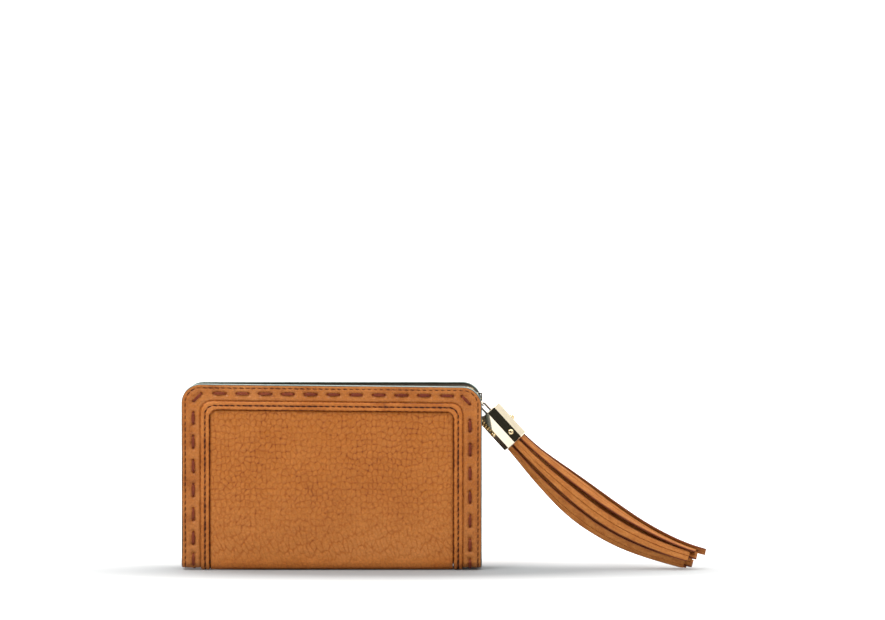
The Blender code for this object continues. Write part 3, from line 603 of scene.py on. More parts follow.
def band_height(x, u, seed):
    """Height of the band's face, outward positive, mm, and a colour factor: grain tone with painted shade in the stitch
    groove, lace holes and edges, and painted highlight on the ridge by the strip.
    """
    s_e, n_e = arch_coords(x, u, HALF_W, HEIGHT, EDGE_R)
    e = -n_e
    h = -0.55 * np.clip(1 - e / 1.5, 0, 1) ** 2
    s1, n1 = arch_coords(x, u, HALF_W - 1.9, HEIGHT - 1.9, EDGE_R - 1.9)
    beat = 0.5 + 0.5 * np.cos(2 * math.pi * s1 / 2.84)
    h -= gauss(n1, 0.42) * (0.13 + 0.16 * beat)
    h += 0.07 * gauss(n1 - 1.1, 0.7) + 0.07 * gauss(n1 + 1.1, 0.7)
    s_l, n_l = arch_coords(x, u, LACE_X, LACE_Z, LACE_R)
    for c in CENTRES:
        for hole in (c - 0.5 * STITCH, c + 0.5 * STITCH):
            d2 = (s_l - hole) ** 2 + (0.8 * n_l) ** 2
            h -= 0.75 * np.exp(-d2 / 0.8 ** 2)
            h += 0.16 * np.exp(-((np.sqrt(d2) - 2.0) / 0.9) ** 2)
        along = np.clip(1 - np.abs(s_l - c) / (0.5 * STITCH), 0, 1)
        h -= 0.16 * gauss(n_l, 1.2) * np.sqrt(along)
        h += 0.10 * gauss(np.abs(n_l) - 2.0, 0.9) * np.sqrt(along)
    s_i, n_i = arch_coords(x, u, *STRIP_OUT)
    h -= 0.30 * gauss(n_i, 0.6)
    h += 0.10 * gauss(n_i - 1.3, 1.0)
    h += 0.22 * vnoise(x, u, 17.0, seed) + 0.11 * vnoise(x, u, 5.0, seed + 3)
    h += (0.05 + 0.22 * gauss(n_l + 2.6, 1.3)) * vnoise(x * 1.4, u, 1.5, seed + 5)
    f1, f2 = cells(x, u, 1.2, seed)
    h += 0.03 * np.clip((f2 - f1) / 0.3, 0, 1)
    fade = np.clip((u + 2.0) / 4.0, 0.15, 1)
    tone = 0.6 + 0.18 * (np.clip((f2 - f1) / 0.3, 0, 1) - 0.6) + 0.34 * vnoise(x, u, 6.0, seed + 8) + 0.22 * vnoise(x, u, 1.6, seed + 6)
    # Painted shade in the topstitch groove, along the strip's edge and on the rolled outer edge; painted highlight on
    # the ridge beside the strip.
    tone -= 0.30 * gauss(n1, 0.40) * (0.5 + 0.5 * beat) + 0.30 * gauss(n_i + 0.1, 0.30) - 0.12 * gauss(n_i - 1.2, 0.8)
    tone -= 0.35 * np.clip(1 - e / 0.5, 0, 1)
    # Painted shade in the lace holes and along both sides of each lace stitch.
    for c in CENTRES:
        for hole in (c - 0.5 * STITCH, c + 0.5 * STITCH):
            tone -= 0.75 * np.exp(-((s_l - hole) ** 2 + n_l ** 2) / 0.50 ** 2)
        along = np.clip(1 - np.abs(s_l - c) / (0.5 * STITCH + 0.3), 0, 1)
        tone -= 0.22 * gauss(np.abs(n_l) - 0.85, 0.35) * np.sqrt(along)
    return h * fade, np.clip(tone, 0, 1)


def make_band(side):
    v = np.concatenate([np.linspace(0, 0.16, 9), np.linspace(0.18, 1.0, 38)])
    o = arch(HALF_W - 0.25, HEIGHT - 0.25, EDGE_R - 0.25, LOW_U, 190, 34, 260)
    i = arch(SEAM_X, SEAM_Z, SEAM_R, LOW_U, 190, 34, 260)
    x = o[0][:, None] * (1 - v) + i[0][:, None] * v
    u = o[1][:, None] * (1 - v) + i[1][:, None] * v
    h, tone = band_height(x, u, 11 if side < 0 else 47)
    outer = skin(side, x, -h, u)
    drop = skin(side, x, np.full_like(x, SKIN), u)
    ob = face_out(shade(skirted("border_band_" + TAG[side], outer, drop), tone), side)
    give(ob, M_BAND)
    names = ["band_" + TAG[side]] + (["band_fold_left", "band_fold_right"] if side < 0 else [])
    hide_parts(*names)
    return settle(ob, side)


# ------------------------------------------------------------------ painted edge, topstitch, lace
def make_edge(side):
    ox, ou = arch(HALF_W - 0.1, HEIGHT - 0.1, EDGE_R, LOW_U, 90, 26, 120)
    ix, iu = arch(HALF_W - 0.75, HEIGHT - 0.75, EDGE_R - 0.65, LOW_U, 90, 26, 120)
    rings = []
    for a, b, c, d in zip(ox, ou, ix, iu):
        thick = 3.2 if b > 6 else 1.3 + 1.9 * max(0.0, (b - FOLD_Z) / (6 - FOLD_Z)) if b > FOLD_Z else 1.3
        wob = 0.05 * float(vnoise(a, b, 3.0, 5)) + 0.10 * float(vnoise(a, b, 14.0, 6))
        ring = []
        for t, dep in ((1.0, 0.42), (0.75, 0.10), (0.35, 0.10), (0.06, 0.35), (-0.10, 0.35 + 0.5 * (thick - 0.5)), (0.06, thick - 0.2), (0.4, thick), (1.0, thick)):
            t = t - wob if t < 0.5 else t
            x, u = a + (c - a) * t, b + (d - b) * t
            ring.append(tuple(skin(side, x, dep, u)))
        rings.append(ring)
    v, f = tube_rings(rings)
    ob = give(fix_normals(link("edge_paint_" + TAG[side], v, f)), M_EDGE)
    return settle(ob, side)


def frame_at(side, line, s, n_off, depth):
    """Point, along, across and outward directions on the face at a distance along an arch line."""
    def at(ss, nn, dd):
        (x, u), (nx, nu) = arch_point(ss, *line)
        return skin(side, x + nn * nx, dd, u + nn * nu)
    p = at(s, n_off, depth)
    t = unit(at(s + 0.05, n_off, depth) - at(s - 0.05, n_off, depth))
    c = unit(at(s, n_off + 0.05, depth) - at(s, n_off - 0.05, depth))
    return p, t, c, unit(p - at(s, n_off, depth + 0.3))


def bead(heap, p, t, out, length, r_w, r_h, slant=0.0, rows=5, seg=8):
    """A short sunk stitch: a capsule along t, flattened, with its ends diving in."""
    c = unit(np.cross(t, out))
    t = unit(t * math.cos(slant) + c * math.sin(slant))
    c = unit(np.cross(t, out))
    rings = []
    for k in range(rows):
        w = -1 + 2 * k / (rows - 1)
        size = math.sqrt(max(0.0, 1 - (0.93 * w) ** 2)) ** 0.6
        mid = p + t * (0.5 * length * w) - out * (0.30 * abs(w) ** 3)
        rings.append([mid + c * r_w * size * math.cos(a) + out * r_h * size * math.sin(a)
                      for a in (2 * math.pi * j / seg for j in range(seg))])
    heap.put(*tube_rings(rings))


def make_topstitch(side):
    heap = Heap()
    line = (HALF_W - 1.9, HEIGHT - 1.9, EDGE_R - 1.9)
    up, arc, across = line[1] - line[2], 0.5 * math.pi * line[2], 2 * (line[0] - line[2])
    total = 2 * up + 2 * arc + across
    s = LOW_U + 1.5
    while s < total - LOW_U - 1.5:
        p, t, c, out = frame_at(side, line, s, 0.0, 0.02)
        bead(heap, p, t, out, 2.7, 0.21, 0.20, 0.10)
        s += 2.84
    ob = give(heap.build("topstitch_" + TAG[side]), M_THREAD_RIM)
    return settle(ob, side)


def make_lace(side):
    """Flat thong stitches with rounded edges that dive into their holes."""
    heap = Heap()
    line = (LACE_X, LACE_Z, LACE_R)
    extra = [LOW_U * 0.55, LACE_END - LOW_U * 0.55]
    for n, c0 in enumerate(CENTRES + extra):
        a, b = c0 - 0.5 * STITCH - 0.15, c0 + 0.5 * STITCH + 0.15
        rows = 19
        pts = []
        for k in range(rows):
            w = -1 + 2 * k / (rows - 1)
            s = c0 + w * (0.5 * STITCH + 0.12)
            rise = 0.46 - 1.1 * abs(w) ** 5 - 0.18 * w * w
            corner = UP + 0.0 < c0 < UP + ARC or UP + ARC + ACROSS < c0 < UP + 2 * ARC + ACROSS
            p, t, c, out = frame_at(side, line, s, 0.0, 0.0)
            if corner:
                pa = frame_at(side, line, c0 - 0.5 * STITCH, 0.0, 0.0)[0]
                pb = frame_at(side, line, c0 + 0.5 * STITCH, 0.0, 0.0)[0]
                p = 0.5 * (pa + pb) + (pb - pa) * 0.5 * w * 1.05
            pts.append((p + out * rise, c, out))
        rings = []
        for k, (p, c, out) in enumerate(pts):
            q = pts[min(k + 1, rows - 1)][0] - pts[max(k - 1, 0)][0]
            t = unit(q)
            o2 = unit(out - t * float(np.dot(out, t)))
            c2 = unit(np.cross(t, o2))
            w = -1 + 2 * k / (rows - 1)
            lens = 1.0 - 0.62 * abs(w) ** 2.3
            ww = 0.5 * (LACE_W - 0.18 + 0.14 * math.sin(2.3 * n)) * lens * (1.0 + 0.04 * math.sin(1.7 * k + n))
            th = 0.36 * (1.0 - 0.35 * abs(w) ** 3)
            ring = []
            for aa in range(12):
                g = 2 * math.pi * aa / 12
                cx, sx = math.cos(g), math.sin(g)
                ring.append(p + c2 * ww * math.copysign(abs(cx) ** 0.6, cx) + o2 * th * math.copysign(abs(sx) ** 0.8, sx))
            rings.append(ring)
        heap.put(*tube_rings(rings))
    ob = give(heap.build("saddle_lace_" + TAG[side]), M_LACE)
    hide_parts("lace_" + TAG[side])
    return settle(ob, side)


# ------------------------------------------------------------------ raised strip with its stitch
MID_LINE = (0.5 * (STRIP_OUT[0] + STRIP_IN[0]), 0.5 * (STRIP_OUT[1] + STRIP_IN[1]), 0.5 * (STRIP_OUT[2] + STRIP_IN[2]))
ZIG = 2.75


def make_strip(side):
    v = np.linspace(0, 1, 27)
    o = arch(*STRIP_OUT, LOW_U, 230, 22, 270)
    i = arch(*STRIP_IN, LOW_U, 230, 22, 270)
    x = o[0][:, None] * (1 - v) + i[0][:, None] * v
    u = o[1][:, None] * (1 - v) + i[1][:, None] * v
    s, n = arch_coords(x, u, *MID_LINE)
    beat = 0.5 + 0.5 * np.cos(2 * math.pi * s / ZIG)
    seed = 5 if side < 0 else 31
    across = np.abs(v * 2 - 1)[None, :] * np.ones_like(x)
    crown = 1.06 * np.clip(1 - across ** 5.0, 0, 1) ** 0.5
    h = crown - gauss(n, 0.55) * (0.26 + 0.14 * beat) + 0.12 * gauss(np.abs(n) - 1.15, 0.6) * (0.6 + 0.6 * beat)
    h += 0.08 * vnoise(x, u, 9.0, seed) + 0.05 * vnoise(x, u, 2.2, seed + 1)
    h = np.minimum(h, np.where(u < FOLD_Z + 1.5, 1.08, 1.5))
    wig = 0.10 * np.cos(2 * math.pi * s / ZIG + 0.6) * across ** 3 * np.sign(v * 2 - 1)[None, :]
    tx = np.gradient(x[:, 13]); tu = np.gradient(u[:, 13])
    ln = np.hypot(tx, tu) + 1e-9
    nx, nu = (-tu / ln)[:, None], (tx / ln)[:, None]
    x2, u2 = x - wig * nx, u - wig * nu
    outer = skin(side, x2, -h, u2)
    drop = skin(side, x2, np.full_like(x, 0.25), u2)
    # Colour factor: grain tone, painted shade along the stitch groove and at both edges of the strip, painted highlight
    # on the puckers beside the stitch.
    tone = 0.62 - 0.50 * gauss(n, 0.30) - 0.25 * gauss(n, 0.6) * beat - 0.70 * np.clip((v[None, :] - 0.87) / 0.13, 0, 1) ** 1.5 - 0.32 * np.clip((0.10 - v[None, :]) / 0.10, 0, 1)
    tone += 0.4 * vnoise(x, u, 5.0, seed + 3) + 0.25 * vnoise(x, u, 1.3, seed + 4) + 0.10 * gauss(np.abs(n) - 1.2, 0.5) * beat
    ob = give(face_out(shade(skirted("raised_strip_" + TAG[side], outer, drop), np.clip(tone, 0, 1)), side), M_STRIP)
    names = ["strip_" + TAG[side]] + (["strip_fold_left", "strip_fold_right"] if side < 0 else [])
    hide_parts(*names)
    settle(ob, side)
    heap = Heap()
    up, arc, across_l = MID_LINE[1] - MID_LINE[2], 0.5 * math.pi * MID_LINE[2], 2 * (MID_LINE[0] - MID_LINE[2])
    total = 2 * up + 2 * arc + across_l
    s = LOW_U + 1.5
    k = 0
    while s < total - LOW_U - 1.5:
        p, t, c, out = frame_at(side, MID_LINE, s, 0.0, -0.72)
        bead(heap, p, t, out, ZIG * 1.16, 0.25, 0.24, 0.34)
        s += ZIG
        k += 1
    st = give(heap.build("strip_stitch_" + TAG[side]), M_THREAD)
    settle(st, side)


# ------------------------------------------------------------------ grained panel
OVAL_LEN = 5.77


def panel_point(side, x, u, h):
    a = np.clip((FOLD_Z - u) / OVAL_LEN, 0, 1) * 0.5 * math.pi
    under = np.clip(FOLD_Z - OVAL_LEN - u, 0, None)
    ey, ez = FOLD_R * np.cos(a), FOLD_Z * np.sin(a)
    ny, nz = np.cos(a), np.sin(a)
    h = np.where(a > 1.2, np.minimum(h, 0.0), h)
    y = FOLD_Y + ey + ny * h - under
    z = np.where(u >= FOLD_Z, u, FOLD_Z - ez) - nz * h
    z = np.maximum(z, 0.0)
    if side < 0:
        k = np.clip((u - FOLD_Z) / 4.0, 0, 1)
        z = z * (1 - k) + k * z * (1.0 - LEAN * (x + HALF_W) / (2 * HALF_W))
    return np.stack([x, side * y, z], -1)


def make_panel(side):
    nx, nu = 330, 262
    u = np.linspace(FOLD_Z - OVAL_LEN - FOLD_Y, 75.9, nu)[:, None] * np.ones((1, nx))
    half = np.where(u > 7.5, 57.7, 56.45 + 1.25 * np.clip((u - 4.5) / 3.0, 0, 1))
    x = np.linspace(-1, 1, nx)[None, :] * half
    seed = 3 if side < 0 else 29
    wx = x + 1.0 * vnoise(x, u, 3.4, seed) + 1.0 * vnoise(x, u, 9.0, seed + 20)
    wu = u + 1.0 * vnoise(x, u, 3.4, seed + 9) + 1.0 * vnoise(x, u, 9.0, seed + 21)
    low = np.clip(1 - (u - 6) / 32.0, 0, 1)
    # the pebbles stretch into slanting creases lower down
    lx, lu = wx * 0.93 + wu * 0.37, wu * 0.93 - wx * 0.37
    g1, g2 = cells(lx, lu * 0.40, 2.2, seed + 7)
    long_crease = np.clip((g2 - g1) / 0.62, 0, 1)
    f1, f2 = cells(wx, wu * 0.80, 2.35, seed)
    peb = np.clip((f2 - f1) / 0.80, 0, 1)
    peb = peb * peb * (3 - 2 * peb)
    d1, d2 = cells(wx * 1.05 + 40.0, wu * 0.62, 1.85, seed + 3)
    dimple = np.exp(-(d1 / 0.60) ** 2)
    mix = low * 0.85
    quiet = np.clip((u - 1.0) / 9.0, 0.25, 1)
    grain = (1 - mix) * (0.80 * (peb - 0.62) - 0.50 * dimple + 0.10) + mix * (1.1 * (long_crease - 0.72) - 0.15 * dimple + 0.05)
    rim = np.clip(np.minimum(57.0 - np.abs(x), 75.2 - u) / 1.6, 0.1, 1)
    grain = grain * rim
    h = 0.21 * grain * quiet
    h += 0.40 * vnoise(x, u, 26.0, seed + 2) + 0.12 * vnoise(x, u, 8.0, seed + 5)
    edge = np.minimum(np.minimum(57.0 - np.abs(x), 75.2 - u), 40.0)
    h += 0.45 * (1 - np.exp(-np.clip(edge, 0, None) / 7.0)) - 0.45 * np.exp(-np.clip(edge - 0.2, 0, None) / 0.9)
    h = np.where(u < FOLD_Z - 3, h * 0.2 - 0.25, h)
    # Colour factor: grain tone, with painted shade in the dimples and creases, in the valley round the panel's edge and
    # towards the fold at the bottom.
    tone = 0.60 + 0.46 * grain * quiet + 0.10 * vnoise(x, u, 14.0, seed + 12) + 0.10 * vnoise(x, u, 3.0, seed + 13)
    tone -= 0.50 * np.exp(-np.clip(edge - 0.35, 0, None) / 0.30) + 0.10 * np.clip((4.0 - u) / 6.0, 0, 1)
    tone = np.clip(tone, 0, 1)
    outer = panel_point(side, x, u, h)
    drop = panel_point(side, x, u, np.full_like(x, -0.9))
    drop[..., 2] = np.maximum(drop[..., 2], 0.05)
    ob = give(face_out(shade(skirted("grained_panel_" + TAG[side], outer, drop), tone), side), M_PANEL)
    names = ["panel_" + TAG[side]] + (["panel_fold"] if side < 0 else [])
    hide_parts(*names)
    return settle(ob, side)


for side in (-1, 1):
    make_band(side)
    make_edge(side)
    make_topstitch(side)
    make_lace(side)
    make_strip(side)
    make_panel(side)


# ------------------------------------------------------------------ zip tape and teeth
def gap_half(x, z):
    if x > 0 and z < TAPE_Z - 0.5 * TAPE_R:
        return OPEN_HALF
    if x > 30.0:
        return SHUT_HALF + (OPEN_HALF - SHUT_HALF) * min(1.0, (x - 30.0) / 30.0)
    return SHUT_HALF


ZLINE = (TAPE_X, TAPE_Z, TAPE_R)
Z_UP = TAPE_Z - TAPE_R
Z_ARC = 0.5 * math.pi * TAPE_R
Z_TOTAL = 2 * Z_UP + 2 * Z_ARC + 2 * (TAPE_X - TAPE_R)


def make_tape(side):
    ss = np.concatenate([np.linspace(5.8, Z_UP, 60, endpoint=False), np.linspace(Z_UP, Z_UP + Z_ARC, 9, endpoint=False),
                         np.linspace(Z_UP + Z_ARC, Z_TOTAL - Z_UP - Z_ARC, 100, endpoint=False),
                         np.linspace(Z_TOTAL - Z_UP - Z_ARC, Z_TOTAL - Z_UP, 9, endpoint=False), np.linspace(Z_TOTAL - Z_UP, Z_TOTAL - 5.8, 60)])
    nv = 15
    outer = np.zeros((len(ss), nv, 3))
    inner = np.zeros_like(outer)
    for k, s in enumerate(ss):
        (x, z), (nx, nz) = arch_point(float(s), *ZLINE)
        e = gap_half(x, z)
        for j in range(nv):
            t = j / (nv - 1)
            y = e + 0.9 + (9.15 - e - 0.9) * t
            sag = -0.35 * math.sin(math.pi * t) + 0.16 * math.sin(math.pi * t) * math.sin(s * 0.55 + 2.0 * side + 2 * t)
            rib = 0.10 * math.exp(-((t - 0.22) / 0.04) ** 2)
            a = sag + rib
            outer[k, j] = (x + a * nx, side * y, z + a * nz)
            inner[k, j] = (x + (a - 0.45) * nx, side * y, z + (a - 0.45) * nz)
    ob = give(sheet("zip_tape_cloth_" + TAG[side], outer, inner), M_TAPE)
    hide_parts("zip_tape_" + TAG[side])
    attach(ob, BODY[side])


def make_teeth(side):
    heap = Heap()
    pitch = 1.9
    s = 6.6 + (0.5 * pitch if side > 0 else 0.0)
    while s < Z_TOTAL - 6.4:
        (x, z), (nx, nz) = arch_point(s, *ZLINE)
        tx, tz = nz, -nx
        e = gap_half(x, z)
        c = -0.5 * TAPE_T
        rows = ((e - 0.50, 0.30, 0.55), (e - 0.28, 0.42, 0.80), (e + 0.35, 0.36, 0.85), (e + 0.75, 0.56, 1.0), (e + 1.35, 0.56, 1.0), (e + 1.55, 0.42, 0.8))
        rings = []
        for y, a, h in rows:
            ring = []
            for da, dh in ((-a, -0.7 * h), (-0.7 * a, -h), (0.7 * a, -h), (a, -0.7 * h), (a, 0.7 * h), (0.7 * a, h), (-0.7 * a, h), (-a, 0.7 * h)):
                ring.append((x + (c + dh) * nx + da * tx, side * y, z + (c + dh) * nz + da * tz))
            rings.append(ring)
        heap.put(*tube_rings(rings))
        s += pitch
    ob = give(heap.build("zip_teeth_row_" + TAG[side], smooth=False), M_TEETH)
    ob.data.shade_smooth()
    ob.data.set_sharp_from_angle(angle=math.radians(35))
    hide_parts("zip_teeth_" + TAG[side])
    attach(ob, BODY[side])


for side in (-1, 1):
    make_tape(side)
    make_teeth(side)


# ------------------------------------------------------------------ gussets
def make_gusset(sign, where):
    ny, nz = 65, 40
    outer = np.zeros((nz, ny, 3))
    inner = np.zeros_like(outer)
    for i in range(nz):
        t = i / (nz - 1)
        for j in range(ny):
            w = -1 + 2 * j / (ny - 1)
            y = 8.7 * w
            top = 59.0 - 13.0 * math.cos(0.5 * math.pi * w) ** 2
            z = 5.0 + (top - 5.0) * t
            x = 61.9 + 1.05 * math.cos(2 * math.pi * w) + 0.12 * math.sin(z * 0.35 + 3 * w)
            outer[i, j] = (sign * x, y, z)
            inner[i, j] = (sign * (x - 0.4), y, z)
    ob = give(sheet("gusset_leather_" + where, outer, inner), M_INNER)
    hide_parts("gusset_" + where)
    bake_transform(ob)


make_gusset(-1, "left")
make_gusset(1, "right")


# ------------------------------------------------------------------ metal: softened copies of the CAD shapes
def soften(node, name, width, mats, segments=2, body=None, angle=25):
    src = NODES[node]
    bm = bmesh.new()
    bm.from_mesh(src.data)
    bmesh.ops.remove_doubles(bm, verts=bm.verts, dist=2e-6)
    bmesh.ops.dissolve_limit(bm, angle_limit=math.radians(1.5), verts=bm.verts, edges=bm.edges)
    mesh = bpy.data.meshes.new(name)
    bm.to_mesh(mesh)
    bm.free()
    o = bpy.data.objects.new(name, mesh)
    bpy.context.scene.collection.objects.link(o)
    mod = o.modifiers.new("round", "BEVEL")
    mod.width = width * MM
    mod.segments = segments
    mod.limit_method = "ANGLE"
    mod.angle_limit = math.radians(angle)
    mod.harden_normals = False
    dg = bpy.context.evaluated_depsgraph_get()
    done = bpy.data.meshes.new_from_object(o.evaluated_get(dg))
    o.modifiers.clear()
    o.data = done
    done.shade_flat()
    give(o, *mats)
    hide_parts(node)
    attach(o, body or src["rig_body"])
    return o


soften("zip_slider", "main_slider", 0.16, [M_GOLD])
soften("coin_slider", "coin_zip_slider", 0.12, [M_GOLD])
cap = soften("tassel_cap", "fringe_cap", 0.16, [M_GOLD])
for n in ("pull_ring", "coin_pull"):
    give(NODES[n], M_GOLD)
    NODES[n].data.shade_smooth()

far = np.array([BAIL_X + RING_L * math.cos(RING_DIR), 0.0, BAIL_Z + RING_L * math.sin(RING_DIR)])
D = np.array([math.cos(CAP_DIR), 0.0, math.sin(CAP_DIR)])
N = np.array([-D[2], 0.0, D[0]])
Y = np.array([0.0, 1.0, 0.0])
cap_top = far + D * CAP_OFF

# slotted screws
SLOTS = ((14.0, -77.0, 0.6), (9.5, -5.0, 1.1), (9.5, -149.0, -0.4))
for k, (s, ang, slot_turn) in enumerate(SLOTS, 1):
    a = math.radians(ang)
    out = N * math.cos(a) + Y * math.sin(a)
    c = cap_top + D * s
    o1 = D
    o2 = np.cross(out, D)
    rings = []
    for h, r in ((-1.0, 0.6), (0.0, 0.62), (0.02, 1.22), (0.32, 1.24), (0.62, 1.12), (0.80, 0.85), (0.88, 0.45), (0.90, 0.05)):
        rings.append([c + out * (CAP_APOTHEM + h) + (o1 * math.cos(t) + o2 * math.sin(t)) * r for t in (2 * math.pi * j / 28 for j in range(28))])
    v, f = tube_rings(rings)
    head = fix_normals(link(f"screw_head_{k}", v, f))
    cutter_v = []
    d1 = o1 * math.cos(slot_turn) + o2 * math.sin(slot_turn)
    d2 = np.cross(out, d1)
    for h in (0.55, 1.2):
        for p, q in ((-1.5, -0.16), (1.5, -0.16), (1.5, 0.16), (-1.5, 0.16)):
            cutter_v.append(c + out * (CAP_APOTHEM + h) + d1 * p + d2 * q)
    tool = fix_normals(link("slot_tool", cutter_v, [(3, 2, 1, 0), (4, 5, 6, 7), (0, 1, 5, 4), (1, 2, 6, 5), (2, 3, 7, 6), (3, 0, 4, 7)], smooth=False))
    mod = head.modifiers.new("slot", "BOOLEAN")
    mod.object = tool
    mod.operation = "DIFFERENCE"
    mod.solver = "EXACT"
    dg = bpy.context.evaluated_depsgraph_get()
    done = bpy.data.meshes.new_from_object(head.evaluated_get(dg))
    head.modifiers.clear()
    head.data = done
    done.shade_smooth()
    done.set_sharp_from_angle(angle=math.radians(40))
    bpy.data.objects.remove(tool)
    give(head, M_SCREW)
    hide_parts(f"cap_screw_{k}")
    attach(head, "tassel")

# leather loop: tan faces with painted edges
R_LOOP, T_LOOP, W_LOOP = 1.25, 0.9, 1.6
path = []
for s in np.linspace(6.6, 0.0, 10, endpoint=False):
    path.append((D * s + N * R_LOOP, N))
for k in range(0, 25):
    a = math.pi * k / 24
    out = N * math.cos(a) - D * math.sin(a)
    path.append((out * R_LOOP, out))
for s in np.linspace(0.0, 6.6, 10)[1:]:
    path.append((D * s - N * R_LOOP, -N))
sec = []
for k in range(20):
    g = 2 * math.pi * k / 20
    cx, sx = math.cos(g), math.sin(g)
    sec.append((math.copysign(abs(cx) ** 0.35, cx) * W_LOOP, math.copysign(abs(sx) ** 0.55, sx) * 0.5 * T_LOOP))
rings = [[far + c + Y * w + out * h for w, h in sec] for c, out in path]
v, f = tube_rings(rings)
loop = fix_normals(link("loop_strap", v, f))
give(loop, M_LOOP, M_EDGE)
for poly in loop.data.polygons:
    if abs(poly.normal.y) > 0.6:
        poly.material_index = 1
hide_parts("tassel_loop")
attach(loop, "tassel")
give(NODES["tassel_core"], M_LOOP)

# ------------------------------------------------------------------ fringe
P0 = cap_top + D * 14.9
P1 = P0 + D * 35.0
P2 = np.array([135.0, 0.0, 12.2])
P3 = np.array([173.5, 0.0, 3.8])


def centre_line(t):
    u = 1.0 - t
    p = P0 * u**3 + P1 * 3 * u * u * t + P2 * 3 * u * t * t + P3 * t**3
    v = (P1 - P0) * 3 * u * u + (P2 - P1) * 6 * u * t + (P3 - P2) * 3 * t * t
    p = p.copy(); v = v.copy()
    p[1] = -7.0 * t * t
    v[1] = -14.0 * t
    return p, unit(v)


def swell(t, start, middle, end):
    if t < 0.45:
        k = t / 0.45
        return start + (middle - start) * (3 * k * k - 2 * k**3)
    k = (t - 0.45) / 0.55
    return middle + (end - middle) * (3 * k * k - 2 * k**3)


def make_strand(name, cad, ang, across, deep, width, t_end, turn, seed, lap):
    steps = 72
    seg = 16
    T = 1.0

    def section(t):
        p, d = centre_line(t)
        n = unit(np.cross(d, Y))
        if n[2] < 0:
            n = -n
        yy = unit(np.cross(n, d))
        if yy[1] < 0:
            yy = -yy
        a = swell(t, *across)
        b = swell(t, *deep)
        th = ang + turn * t
        wob = np.clip((t - 0.15) * 3, 0, 1)
        c = p + n * (a * math.cos(th) + wob * 0.30 * math.sin(9 * t + seed)) + yy * (b * math.sin(th) + wob * 0.25 * math.sin(7 * t + 2 * seed))
        w = unit(n * (-a * math.sin(th)) + yy * b * math.cos(th))
        o = unit(np.cross(w, d))
        tw = lap * (0.30 + 0.70 * wob) + wob * 0.10 * math.sin(6 * t + 1.3 * seed)
        w, o = w * math.cos(tw) + o * math.sin(tw), o * math.cos(tw) - w * math.sin(tw)
        half = 0.5 * (swell(t, *width) + 1.45 * wob + 0.1) * (1 + 0.02 * math.sin(23 * t + seed))
        return c, w, o, half

    def lowest(te):
        return min((section(te * k / 12)[0] + section(te * k / 12)[1] * q * section(te * k / 12)[3])[2] for k in range(6, 13) for q in (-1, 1)) - 0.55
    while lowest(t_end) < 0.05 and t_end > 0.6:
        t_end -= 0.01
    rings, uv = [], []
    for k in range(steps + 1):
        t = t_end * k / steps
        c, w, o, half = section(t)
        slim = 1.0 if k < steps else 0.93
        cup = 0.18 * math.sin(3 * t + seed)
        ring = []
        for j in range(seg):
            g = 2 * math.pi * j / seg
            cx, sx = math.cos(g), math.sin(g)
            a = math.copysign(abs(cx) ** 0.42, cx)
            h = math.copysign(abs(sx) ** 0.6, sx) * 0.5 * T * slim
            marks = [(a, h, a)]
            if j in (seg // 4, 3 * seg // 4):
                # a slit runs down the middle of each face, so the strip reads as two
                s = 1 if j == seg // 4 else -1
                cut = 0.38 * float(np.clip((t - 0.05) * 6, 0, 1))
                at = 0.16 * math.sin(seed * 2.1)
                marks = [(at + s * 0.075, h, 0.2), (at, h - s * cut, 1.0), (at - s * 0.075, h, 0.2)]
            for aa, hh, mark in marks:
                ring.append(c + w * aa * half * slim + o * (hh + cup * (aa * aa - 0.5)))
                uv.append((mark, t * 105.0 + seed * 13.0))
        rings.append(ring)
    v, f = tube_rings(rings)
    ob = fix_normals(link(name, v, f, uv=uv))
    ob.data.set_sharp_from_angle(angle=math.radians(50))
    give(ob, M_FRINGE)
    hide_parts(cad)
    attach(ob, "tassel")


count = 0
for k in range(7):
    count += 1
    make_strand(f"fringe_{count:02d}", f"strand_{count:02d}", 2 * math.pi * (k + 0.25) / 7, (4.65, 8.4, 4.6), (4.65, 6.0, 5.4), (3.5, 4.7, 3.6), 1.0 - 0.02 * ((3 * k) % 4), 0.10, 1.0 + k, 0.30)
for k in range(4):
    count += 1
    make_strand(f"fringe_{count:02d}", f"strand_{count:02d}", 2 * math.pi * (k + 0.5) / 4, (2.55, 3.9, 2.6), (2.55, 2.9, 2.65), (3.3, 3.9, 3.4), 0.97 - 0.015 * ((2 * k) % 3), 0.10, 11.0 + k, 0.12)

# ------------------------------------------------------------------ inside pieces keep their CAD shape
for n, o in NODES.items():
    if n.startswith("board"):
        give(o, M_BOARD)
    elif n.startswith("lining"):
        give(o, M_LINING)
    elif n.startswith("card_slot") or n.startswith("coin_wall") or n == "coin_welt":
        give(o, M_INNER)
    elif n.startswith("coin_tape"):
        give(o, M_TAPE)
    elif n.startswith("coin_teeth"):
        give(o, M_TEETH)


def seam_run(heap, a, b, out, pitch=2.6, length=2.0):
    a, b, out = (np.array(q, float) for q in (a, b, out))
    n = int(np.linalg.norm(b - a) / pitch)
    t = unit(b - a)
    for k in range(n):
        bead(heap, a + t * (k + 0.5) * pitch, t, out, length, 0.2, 0.18, 0.05, 5, 6)


